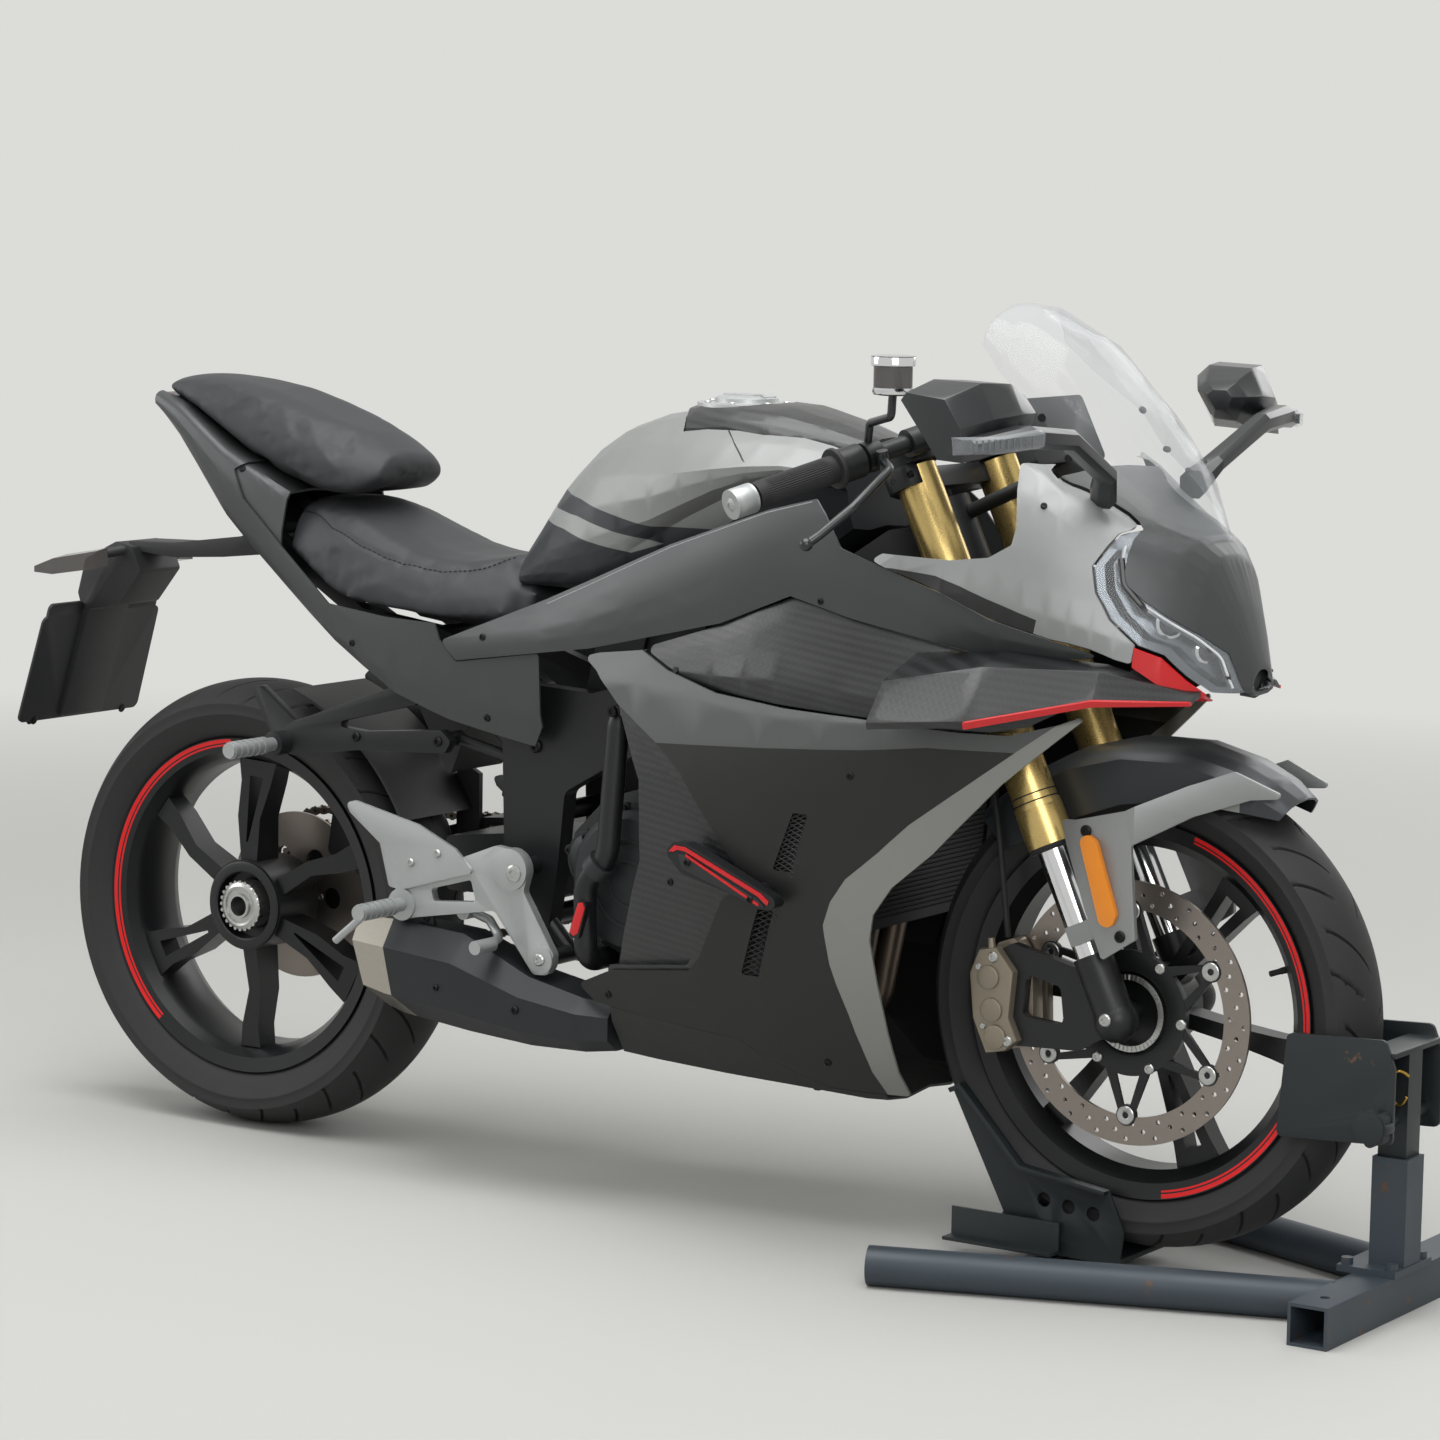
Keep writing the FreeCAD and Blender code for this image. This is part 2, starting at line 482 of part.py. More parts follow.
def rear_drive():
    """Single-sided swingarm on the left, its shock, the chain loop and the wheel's guard."""
    cross = side_prism([(455, 370), (535, 372), (545, 405), (535, 440), (455, 452), (360, 440),
                        (345, 400), (362, 368)], -74, 74, 10)
    arm = side_prism([(462, 374), (462, 446), (440, 452), (300, 440), (180, 405), (64, 372), (-30, 366),
                      (-62, 330), (-66, 296), (-42, 252), (0, 240), (55, 254), (150, 300), (330, 352)],
                     ARM_IN, ARM_OUT, 14)
    arm = arm.cut(side_prism([(150, 345), (290, 378), (290, 400), (160, 372)], 80, 130, 8))
    gusset = plan_prism([(330, 60), (462, 60), (462, 100), (300, 100)], 378, 432)
    neck = plan_prism([(380, -72), (500, -72), (500, 72), (462, 74), (440, 84), (380, 84)], 384, 430)
    swing = fused([cross, arm, gusset, neck]).cut(rod(REAR_AXLE, REAR_AXLE + V(0, 200, 0), 28.0 + RUNNING_FIT))
    pivot = rod(V(PIVOT_X, -FRAME_IN + SEAT_GAP, PIVOT_Z), V(PIVOT_X, FRAME_IN - SEAT_GAP, PIVOT_Z), 12)
    swing = swing.fuse(pivot)
    caliper = side_prism([(60, 372), (112, 352), (146, 388), (120, 432), (70, 440)], 52, 83.8, 10)
    caliper = caliper.cut(rod(REAR_AXLE + V(0, REAR_DISC_Y - 7, 0), REAR_AXLE + V(0, REAR_DISC_Y + 7, 0),
                              REAR_DISC_R + 6))
    body = rod(V(430, 0, 470), V(468, 0, 600), 24)
    rod_end = rod(V(424, 0, 451), V(432, 0, 477), 9)
    top = rod(V(466, 0, 593), V(472, 0, 612), 9)
    coil = []
    for i in range(6):
        at = V(430, 0, 470) + (V(468, 0, 600) - V(430, 0, 470)) * (0.12 + 0.152 * i)
        coil.append(rod(at, at + (V(38, 0, 130).normalize() * 9), 34))
    shock = fused([body, rod_end, top] + coil)
    front = V(CHAIN_FRONT_X, 0, CHAIN_FRONT_Z)
    loops = []
    for grow in (CHAIN_HEIGHT, 0.0):
        rear_r, front_r = SPROCKET_R + MOVING_GAP + grow, FRONT_SPROCKET_R + grow
        rear_c = REAR_AXLE
        gap = front - rear_c
        tilt = math.atan2(gap.z, gap.x)
        open_angle = math.acos((rear_r - front_r) / gap.Length)
        ends = {}
        for name, centre, radius in (("rear", rear_c, rear_r), ("front", front, front_r)):
            for end, turn in (("top", tilt + open_angle), ("low", tilt - open_angle)):
                ends[name, end] = centre + V(radius * math.cos(turn), 0, radius * math.sin(turn))
        back = rear_c - V(math.cos(tilt), 0, math.sin(tilt)) * rear_r
        nose = front + V(math.cos(tilt), 0, math.sin(tilt)) * front_r
        wire = Part.Wire([Part.makeLine(ends["rear", "top"], ends["front", "top"]),
                          Part.Arc(ends["front", "top"], nose, ends["front", "low"]).toShape(),
                          Part.makeLine(ends["front", "low"], ends["rear", "low"]),
                          Part.Arc(ends["rear", "low"], back, ends["rear", "top"]).toShape()])
        loop = Part.Face(wire).extrude(V(0, CHAIN_WIDTH, 0))
        loop.translate(V(0, CHAIN_Y - CHAIN_WIDTH / 2, 0))
        loops.append(loop)
    chain = loops[0].cut(loops[1])
    guard_r = REAR_TYRE_R + 14
    ring = rod(REAR_AXLE + V(0, -78, 0), REAR_AXLE + V(0, 78, 0), guard_r + 4).cut(
        rod(REAR_AXLE + V(0, -79, 0), REAR_AXLE + V(0, 79, 0), guard_r))
    wedge = side_prism([(70, 460), (120, 700), (250, 640), (352, 470), (352, 452), (280, 452), (200, 470)],
                       -78, 78)
    hugger = ring.common(wedge)
    bracket = side_prism([(262, 415), (300, 425), (300, 500), (262, 520)], 76, ARM_IN - SEAT_GAP)
    hugger = fused([hugger, bracket])
    return {"swingarm": [swing, caliper], "rear_shock": [shock], "chain_loop": [chain],
            "rear_hugger": [hugger]}


def exhaust():
    """Low muffler on the right side with its slanted steel end cap."""
    table = [(276, (-92, -178), (228, 336)), (345, (-88, -186), (212, 337)), (450, (-88, -188), (201, 330)),
             (560, (-88, -188), (198, 288)), (644, (-82, -180), (200, 270)), (680, (-78, -160), (203, 264))]
    stations, rims = [], []
    for x, (inner, outer), (low, high) in table:
        c = 0.26 * (high - low)
        stations.append(x)
        rims.append([(inner, low + c * 0.6), (inner - c * 0.6, low), (outer + c * 1.4, low), (outer, low + c),
                     (outer, high - c), (outer + c, high), (inner - c * 0.6, high), (inner, high - c * 0.6)])
    whole = loft(stations, rims)
    split = [(318, 400), (372, 180), (200, 180), (200, 400)]
    trim = side_prism([(276, 336), (332, 180), (200, 180), (200, 400), (260, 400)], -300, 0)
    tail = side_prism(split, -300, 0)
    cap = whole.common(tail).cut(trim)
    outlet = rod(V(270, -140, 268), V(345, -140, 268), 24)
    cap = cap.cut(outlet)
    hanger = side_prism([(368, 325), (396, 325), (390, 356), (376, 356)], -REARSET_Y, 6 - REARSET_Y, 3)
    return {"muffler": [joined([whole.cut(tail), hanger])], "muffler_cap": [cap]}


def footrests():
    """Silver rearsets, pegs and foot levers, and the black carriers of the passenger's pegs."""
    plate = side_prism([(338, 375), (352, 392), (500, 450), (538, 446), (553, 422), (545, 395), (594, 318),
                        (586, 292), (562, 290), (500, 366), (352, 340), (336, 352)], REARSET_Y, REARSET_Y + 12, 10)
    plate = plate.cut(side_prism([(398, 384), (462, 402), (470, 374), (402, 368)], 140, 170, 4))
    bosses = [rod(V(x, 146, z), V(x, y, z), r)
              for x, z, r, y in ((353, 359, 21, 163), (525, 422, 27, 162), (574, 311, 19, 161))]
    guard = side_prism([(262, 484), (276, 488), (380, 466), (440, 440), (470, 412), (440, 404), (352, 378),
                        (333, 381), (318, 436), (268, 472)], 158, 163, 5)
    rearset = fused([plate, guard] + bosses)
    pegs = []
    for x, z, y in ((353, 359, 163), (128, 548, 151)):
        ribs = [(0, y + SEAT_GAP), (9, y + SEAT_GAP), (9, y + 18)]
        for start in range(18, 88, 12):
            ribs += [(11.5, y + start), (11.5, y + start + 8), (10, y + start + 8), (10, y + start + 12)]
        pegs.append(revolved(ribs + [(0, y + 90)], V(x, 0, z)))
    pegs[0] = fused([pegs[0], rod(V(353, 247, 352), V(310, 244, 318), 5)])
    levers = []
    for side, inner in ((-1, 130), (1, 168)):
        outer = inner + 44
        blade = bent_bar([V(440, side * inner, 356), V(474, side * (inner + 3), 348),
                          V(500, side * (inner + 16), 330), V(506, side * outer, 325)], 6, 14)
        tip = rod(V(506, side * (outer - 4), 325), V(506, side * (outer + 34), 325), 9)
        seat = (REARSET_Y - SEAT_GAP, inner - 5) if side < 0 else (REARSET_Y + 12 + SEAT_GAP, inner + 5)
        hinge = rod(V(440, side * seat[0], 356), V(440, side * seat[1], 356), 10)
        levers.append(joined([blade, tip, hinge]))
    carrier = side_prism([(112, 536), (104, 560), (74, 612), (84, 622), (146, 578), (330, 644), (352, 640),
                          (348, 616), (200, 578), (262, 574), (388, 586), (404, 572), (394, 556), (250, 548),
                          (146, 532)], PEG_PLATE_Y, PEG_PLATE_Y + 15, 6)
    carrier = fused([carrier, rod(V(128, PEG_PLATE_Y + 2, 548), V(128, 151, 548), 16)])
    return {"rearsets": pair(rearset), "foot_controls": pair(pegs[0]) + pair(pegs[1]) + levers,
            "peg_carriers": pair(carrier)}


def seats_and_tail():
    """Tank, seats and tail with the number plate arm."""
    tank_half = Envelope([
        (486, [(0, 838), (45, 836), (72, 822), (88, 802), (94, 790), (90, 781), (0, 781)]),
        (545, [(0, 926), (50, 920), (92, 882), (116, 828), (116, 800), (96, 781), (0, 781)]),
        (625, [(0, 988), (58, 980), (120, 926), (140, 850), (128, 812), (100, 781), (0, 781)]),
        (725, [(0, 1014), (66, 1004), (146, 934), (150, 880), (128, 862), (100, 786), (0, 786)]),
        (820, [(0, 1016), (72, 1006), (160, 948), (152, 922), (128, 910), (100, 806), (0, 806)]),
        (910, [(0, 1004), (66, 996), (142, 956), (138, 946), (120, 936), (96, 830), (0, 830)]),
        (980, [(0, 980), (52, 974), (104, 946), (106, 936), (96, 926), (80, 880), (0, 880)])]).solid()
    tank = fused([tank_half, mirrored(tank_half)])
    cover_top = Envelope([
        (690, [(0, 1010), (40, 1008), (60, 1000), (60, 960), (0, 960)]),
        (735, [(0, 1024), (60, 1016), (90, 990), (90, 960), (0, 960)]),
        (860, [(0, 1022), (70, 1014), (98, 984), (98, 950), (0, 950)]),
        (985, [(0, 988), (48, 982), (62, 966), (62, 900), (0, 900)])]).solid()
    cover_top = fused([cover_top, mirrored(cover_top)]).cut(
        plan_prism([(600, -200), (1000, -200), (1000, 200), (600, 200)], 800, 962))
    tank = tank.cut(plan_prism([(688, 0), (735, 92), (860, 99), (986, 64), (986, -64), (860, -99),
                                (735, -92)], 961.7, 1100))
    neck = rod(V(768, 0, 962), V(768, 0, 1100), 62)
    cover_top = cover_top.cut(neck).common(plan_prism([(690, 0), (736, 89), (860, 96), (984, 60), (984, -60),
                                                       (860, -96), (736, -89)], 900, 1100))
    cap = fused([rod(V(768, 0, 962.3), V(768, 0, 1022), 61.7), rod(V(768, 0, 1022), V(768, 0, 1028), 40)])
    seat_half = Envelope([
        (112, [(0, 874), (58, 868), (86, 846), (104, 812), (92, 803), (0, 803)]),
        (160, [(0, 868), (80, 860), (108, 822), (122, 780), (108, 776), (0, 776)]),
        (215, [(0, 850), (92, 842), (120, 800), (131, 746), (112, 750), (0, 752)]),
        (310, [(0, 812), (98, 806), (130, 782), (139, 734), (112, 742), (0, 744)]),
        (395, [(0, 800), (90, 796), (126, 772), (140, 732), (112, 730), (0, 730)]),
        (478, [(0, 814), (58, 812), (92, 788), (120, 744), (104, 722), (0, 722)])]).solid()
    lip = side_prism([(470, 726), (470, 778.6), (526, 778.6), (512, 732)], -104, 104, 5)
    seat = fused([seat_half, mirrored(seat_half), lip])
    pillion_half = Envelope([
        (-142, [(0, 1018), (44, 1014), (58, 1006), (50, 1002), (0, 1002)]),
        (-80, [(0, 1020), (62, 1012), (82, 994), (76, 984), (0, 984)]),
        (30, [(0, 1004), (76, 996), (96, 938), (84, 926), (0, 926)]),
        (135, [(0, 972), (84, 962), (104, 906), (88, 890), (0, 890)]),
        (205, [(0, 950), (70, 940), (96, 892), (80, 880), (0, 880)]),
        (242, [(0, 936), (44, 930), (70, 908), (60, 898), (0, 898)])]).solid()
    pillion = fused([pillion_half, mirrored(pillion_half)])
    pillion.translate(V(0, 0, -1))
    tail_env = Envelope([
        (-142, [(0, 1001), (60, 1001), (74, 996), (76, 985), (60, 978), (0, 976)]),
        (-90, [(0, 985), (78, 984), (88, 976), (90, 956), (74, 936), (0, 930)]),
        (0, [(0, 930), (92, 930), (104, 920), (106, 880), (86, 830), (0, 818)]),
        (60, [(0, 905), (96, 905), (110, 890), (114, 840), (92, 784), (0, 770)]),
        (114, [(0, 880), (98, 880), (112, 850), (120, 800), (102, 746), (0, 732)]),
        (210, [(0, 860), (100, 860), (126, 800), (136, 738), (118, 680), (0, 668)]),
        (320, [(0, 840), (110, 840), (138, 780), (146, 706), (130, 618), (0, 606)]),
        (430, [(0, 830), (116, 830), (146, 760), (148, 690), (128, 586), (0, 574)]),
        (560, [(0, 830), (118, 830), (142, 760), (146, 690), (122, 566), (0, 556)])])
    upper = [(-141, 1010), (-60, 978), (14, 936), (74, 932), (40, 914), (24, 904), (44, 866), (114, 808),
             (208, 739), (310, 729), (392, 727), (400, 706), (426, 680), (556, 700), (556, 606), (538, 578),
             (470, 590), (404, 603), (320, 630), (210, 690), (110, 757), (56, 794), (-14, 852), (-90, 944),
             (-139, 982)]
    flank = tail_env.panel(upper, PANEL_WALL, corner=4, y0=60)
    inner = [(-125, 1010), (30, 940), (111.5, 903), (111.5, 790), (100, 735), (40, 755), (-20, 815),
             (-96, 900), (-125, 940)]
    filler = tail_env.panel(inner, PANEL_WALL, depth=PANEL_WALL + SEAT_GAP, corner=4, y0=0.0)
    filler = filler.cut(Part.makeBox(70, 56 + 2 * SEAT_GAP, 80, V(-20, -28 - SEAT_GAP, 755)))
    side = pair(flank) + [joined([filler, mirrored(filler)])]
    arm = side_prism([(51 - SEAT_GAP, 832), (-30, 806), (-150, 790), (-228, 788), (-232, 776), (-150, 770),
                      (-60, 776), (30, 786), (51 - SEAT_GAP, 792)], -28, 28, 3)
    drop = side_prism([(-212, 782), (-196, 748), (-236, 700), (-290, 690), (-340, 535), (-348, 537),
                       (-304, 694), (-310, 712), (-296, 760), (-240, 787)], -42, 42, 6)
    holder = prism([V(-301, y, 683) for y in (-120, 120)] + [V(-347, y, 533) for y in (124, -124)],
                   V(-3.5, 0, 1.1), 10)
    tabs = [prism([V(-296, s * 40, 700), V(-296, s * 112, 700), V(-318, s * 112, 628), V(-318, s * 60, 628)],
                  V(-4.5, 0, 1.4), 8) for s in (-1, 1)]
    hanger = fused([arm, drop, holder] + tabs)
    stems = [rod(V(-222, s * 20, 778), V(-238, s * 74, 772), 7) for s in (-1, 1)]
    hanger = fused([hanger] + stems)
    rear_lamps = [loft([-342, -300, -226], [
        [(s * 76, 744), (s * 96, 742), (s * 96, 750), (s * 78, 752)],
        [(s * 72, 746), (s * 106, 742), (s * 104, 764), (s * 76, 768)],
        [(s * 74.5, 756), (s * 104, 754), (s * 100, 778), (s * 76, 781)]]) for s in (-1, 1)]
    lamp = tail_env.solid(PANEL_WALL + SEAT_GAP).common(Part.makeBox(16, 200, 200, V(-141.5, 0, 900)))
    lamp = fused([lamp, mirrored(lamp)])
    liner = side_prism([(110, 742), (262, 626), (300, 600), (345, 520), (352, 520), (380, 590),
                        (318, 612), (275, 640), (190, 700)], -56, 56, 6)
    liner = fused([liner, side_prism([(322, 606), (338, 600), (336, 694.6), (324, 694.6)], -10, 10)])
    return {"fuel_tank": [tank], "tank_cover": [cover_top], "fuel_cap": [cap], "rider_seat": [seat],
            "pillion_seat": [pillion], "tail_cowl": side,
            "plate_hanger": [hanger], "indicator_lamps": rear_lamps + [lamp], "under_tail": [liner]}


def bodywork():
    """Side covers, carbon shoulders, fairing sides, belly pan and what is fixed to them."""
    cover = FLANK.panel([(403, 706), (553, 767), (760, 852), (916, 905), (985, 922), (1002, 905),
                         (1030, 866), (1092, 847), (1178, 822), (1240, 796), (1364, 760.5), (1356, 755),
                         (1248, 749), (1043, 783), (954, 803), (850, 762), (642, 714), (428, 682)],
                        PANEL_WALL, corner=5, y0=90)
    shoulder = SHOULDER.panel([(734, 723.5), (850, 760), (954, 800.5), (1043, 780.5), (1248, 747.5),
                               (1330, 735), (1342, 700), (1270, 661.7), (1084, 668.6), (970, 671.7),
                               (840, 684), (780, 704)], PANEL_WALL, corner=6, y0=90)
    side = FAIRING.panel([(640, 705), (663, 711), (733, 720), (781, 700), (865, 680), (970, 671),
                          (1078, 668), (1211, 661), (1270, 661), (1323, 676), (1362, 692), (1258, 601),
                          (1174, 512), (1122, 467), (1095, 431), (1087, 397), (1089, 334), (1090, 259),
                          (1092, 192), (1059, 191.5), (983, 192), (909, 229), (883, 248), (668, 269),
                          (640, 290), (700, 316), (827, 332), (846, 350), (890, 432), (924, 452),
                          (907, 479), (871, 521), (822, 580), (780, 612), (710, 653), (667, 690)],
                         PANEL_WALL, corner=6, y0=60)
    for top, foot in (((1007, 548), (978, 475)), ((953, 424), (920, 337))):
        slot = [(top[0] - 11, top[1]), (top[0] + 11, top[1]), (foot[0] + 13, foot[1]), (foot[0] - 13, foot[1])]
        side = side.cut(side_prism(slot, 150, 300, 3))
    web = FAIRING.panel([(664, 690), (700, 655), (745, 561), (750, 462), (720, 368), (704, 319), (826, 335),
                         (842, 352), (886, 434), (922, 454), (905, 477), (869, 519), (820, 578), (778, 610),
                         (708, 652), (668, 688)], PANEL_WALL, depth=PANEL_WALL + 9, corner=5, y0=90)
    edge = FAIRING.panel([(716, 655), (780, 614.5), (824, 583), (874, 524), (910, 482), (928, 452),
                          (893, 429), (848, 349), (828, 330), (700, 314.5), (690, 311), (696, 322),
                          (823, 338), (838, 354), (880, 436), (908, 455), (898, 472), (862, 514),
                          (812, 570), (770, 602), (712, 640)], 8.0, depth=PANEL_WALL + 0.6, corner=3, y0=90)
    web = joined([web, edge])
    half_pan = FAIRING.panel([(668, 268.7), (883, 247.7), (909, 228.7), (983, 191.5), (1058, 191),
                              (1058, 170), (596, 170), (592, 205), (578, 278)], PANEL_WALL, y0=0.0)
    belly = joined([half_pan, mirrored(half_pan)])
    belly = belly.cut(side_prism([(560, 260), (760, 250), (760, 150), (560, 150)], -70, 70))
    belly = belly.cut(side_prism([(540, 320), (690, 300), (690, 150), (540, 150)], -220, -60))
    pads = []
    bar = side_prism([(826, 486), (838, 500), (856, 500), (984, 446), (988, 436), (978, 431), (850, 462)],
                     232, 252, 8)
    pads.append(fused([bar] + [rod(V(x, 236, z), V(x, 200, z), 9) for x, z in ((850, 482), (955, 450))]).cut(
        FAIRING.solid(-SEAT_GAP)))
    guard = bent_bar([V(690, FRAME_OUT + SEAT_GAP, 640), V(690, 158, 640), V(682, 168, 455),
                      V(648, 168, 420), V(648, 164, 318), V(648, 112 + SEAT_GAP, 318)], 14.5, 40)
    guard = fused([guard, side_prism([(636, 350), (652, 350), (664, 398), (648, 398)], 170, 186, 7)])
    return {"side_covers": pair(cover), "side_fairings": pair(side),
            "carbon_panels": pair(shoulder) + pair(web), "belly_pan": [belly],
            "crash_guards": pair(pads[0]) + pair(guard)}


def front_bodywork():
    """Nose, cowl sides, lamps, wings, screen, mirrors and dash."""
    lens_edge = [(1353, 862), (1371, 899), (1385, 904), (1384, 870), (1383, 846), (1406, 824), (1458, 785),
                 (1480, 762), (1496, 714), (1472, 718), (1434, 763), (1409, 774), (1378, 803), (1360, 832)]
    nose = NOSE.panel([(1290, 962), (1376, 912), (1386, 904.8), (1384.8, 870), (1383.7, 846.7), (1406.5, 824.9),
                       (1458.6, 785.8), (1481, 762.4), (1496.9, 714), (1494, 700), (1502, 700), (1510, 760),
                       (1460, 900), (1300, 1000)], 4, corner=2, y0=0.0)
    nose = joined([nose, mirrored(nose)])
    cowl = NOSE.panel([(1251, 978), (1270, 975), (1287, 960.5), (1373, 910), (1379, 905), (1370, 900.5),
                       (1351.5, 863), (1358.5, 832), (1376.5, 802), (1406, 774), (1403, 752), (1240, 798.5),
                       (1178, 824.5), (1100, 848), (1078, 856), (1092, 864), (1185, 862), (1236, 868),
                       (1262, 884), (1264, 905)], PANEL_WALL, corner=3, y0=60)
    lens = NOSE.panel(lens_edge, PANEL_WALL, depth=1.0, corner=4)
    slab = NOSE.solid(PANEL_WALL + 1.3)
    behind, floor = slab.copy(), slab.copy()
    behind.translate(V(0, -26, 0))
    floor.translate(V(0, -22, 0))
    bowl_edge = [(1362, 864), (1376, 890), (1378, 846), (1403, 817), (1454, 778), (1473, 757), (1484, 722),
                 (1475, 725), (1437, 770), (1412, 781), (1384, 808), (1368, 834)]
    bowl = slab.common(side_prism(lens_edge, 5, 400, 4)).cut(behind)
    bowl = bowl.cut(side_prism(bowl_edge, 5, 400, 3).cut(floor))
    strip = NOSE.panel([(1405.5, 771), (1432, 759.5), (1469, 716), (1466, 706), (1456, 708), (1404.5, 748)],
                       PANEL_WALL, y0=60)
    # station, lower and upper corner of the wing's outer edge, then the rest of its section
    table = [(1140, (300, 668), (303, 676), [(266, 722), (165, 758), (165, 748), (262, 712)]),
             (1261, (280, 678), (283, 686), [(244, 746), (150, 768), (150, 756), (240, 738)]),
             (1380, (192, 706), (195, 713), [(180, 744), (130, 757), (130, 746), (176, 736)]),
             (1466, (112, 706), (113, 710), [(106, 716), (90, 720), (90, 712), (104, 710)])]
    wing = loft([x for x, low, high, rest in table], [[low, high] + rest for x, low, high, rest in table])
    for inside in (NOSE, SHOULDER, FLANK):
        wing = wing.cut(inside.solid(-SEAT_GAP))
    stations, rims = [], []
    for x, low, high, rest in table[1:]:
        along = V(0, high[0] - low[0], high[1] - low[1]).normalize()
        out = V(0, along.z, -along.y)
        rims.append([(y + out.y * reach, z + out.z * reach) for reach, corners in
                     ((SEAT_GAP, (low, high)), (5.0, (high, low))) for y, z in corners])
        stations.append(x)
    edging = loft(stations, rims)
    arc = [(1168, 100, 1111, 1160), (1200, 112, 1078, 1156), (1264, 124, 1030, 1122), (1300, 122, 984, 1088),
           (1347, 108, 952, 1043), (1396, 84, 914, 982), (1440, 34, 883, 893)]
    stations, rims = [], []
    for x, half, low, high in arc:
        edges = []
        for wall in (0.0, SCREEN_WALL):
            w, lo, hi = half - wall * 0.8, low - wall * 0.4, high - wall * 1.3
            edges.append([(w * math.sin(t), lo + (hi - lo) * (math.cos(t) if abs(t) < 1.56 else 0.0))
                          for t in [math.pi / 2 * k / 6 for k in range(-6, 7)]])
        stations.append(x)
        rims.append(edges[0] + list(reversed(edges[1])))
    screen = loft(stations, rims)
    grown = NOSE.solid(-SEAT_GAP)
    screen = screen.cut(grown).cut(mirrored(grown))
    arm = loft_along([(V(1342, 112, 944), 36, 34), (V(1356, 134, 968), 30, 22), (V(1366, 240, 1014), 26, 24),
                      (V(1352, 320, 1020), 40, 26), (V(1334, 372, 1013), 34, 22), (V(1322, 396, 1010), 24, 16)])
    head = loft_y([(246, [(1300, 1028), (1316, 1027), (1322, 1044), (1314, 1052), (1296, 1052), (1288, 1046)]),
                   (262, [(1290, 1016), (1322, 1014), (1334, 1044), (1320, 1062), (1280, 1062), (1266, 1052)]),
                   (300, [(1272, 1004), (1322, 1002), (1338, 1044), (1322, 1078), (1262, 1080), (1246, 1066)]),
                   (350, [(1268, 1000), (1318, 996), (1330, 1040), (1312, 1080), (1250, 1082), (1238, 1070)]),
                   (393, [(1283, 994), (1315, 992), (1312, 1030), (1290, 1062), (1240, 1068), (1233, 1059)])])
    mirror = joined([arm, head]).cut(grown)
    blinker = loft_y([(320, [(1372.4, 1008), (1379, 1011), (1380, 1025), (1372.4, 1030)]),
                      (372, [(1351.4, 1003), (1358, 1006), (1359, 1020), (1351.4, 1023)]),
                      (419, [(1318, 1002), (1332, 1004), (1330, 1020), (1316, 1022)])]).cut(arm)
    dash = prism([V(1182, -78, 1038), V(1182, 78, 1038), V(1216, 84, 962), V(1216, -84, 962)],
                 V(22, 0, 10), 8)
    stay = side_prism([(1214, 968), (1236, 978), (1311, 949.4), (1361, 919.4), (1355, 900), (1290, 905),
                       (1236, 940)], -10, 10, 2)
    strut = rod(on_fork(640, 0, HEAD_TUBE_R - FORK_OFFSET + SEAT_GAP), on_fork(640, 0, 134), 9)
    return {"nose_cowl": [nose], "cowl_sides": pair(cowl), "headlamps": pair(lens),
            "lamp_bowls": pair(bowl), "red_trim": pair(strip) + pair(edging), "winglets": pair(wing),
            "windscreen": [screen], "mirrors": pair(mirror), "indicator_lamps": pair(blinker),
            "dash_panel": [fused([dash, stay, strut])]}


def loft_along(stations):
    """Tapered arm through points. Columns: centre, width along X, height along Z."""
    wires = []
    for centre, width, height in stations:
        w, h = width / 2, height / 2
        corners = [(-w, -h * 0.5), (-w * 0.5, -h), (w * 0.5, -h), (w, -h * 0.5), (w, h * 0.5), (w * 0.5, h),
                   (-w * 0.5, h), (-w, h * 0.5)]
        points = [centre + V(x, 0, z) for x, z in corners]
        wires.append(Part.makePolygon(points + [points[0]]))
    return Part.makeLoft(wires, True, True)


def loft_y(sections):
    """Solid through side view outlines at given widths. Columns: y, [(x, z), ...]."""
    wires = []
    for y, rim in sections:
        points = [V(x, y, z) for x, z in rim]
        wires.append(Part.makePolygon(points + [points[0]]))
    return Part.makeLoft(wires, True, True)


def side_stand():
    """Side stand on the left, folded back along the bike."""
    pivot = STAND_PIVOT
    foot = pivot + STAND_FOLDED
    leg = rod(pivot, foot, 9.5)
    eye = rod(pivot - STAND_OUT * 10, pivot + STAND_OUT * 12, 18)
    pad = side_prism([(foot.x - 34, foot.z - 16), (foot.x + 14, foot.z - 14), (foot.x + 14, foot.z - 4),
                      (foot.x - 30, foot.z - 2)], foot.y - 16, foot.y + 16, 3)
    spring_lug = rod(pivot + STAND_FOLDED * 0.21, pivot + STAND_FOLDED * 0.21 + STAND_OUT * 24, 5)
    return {"side_stand": [fused([leg, eye, pad, spring_lug])]}


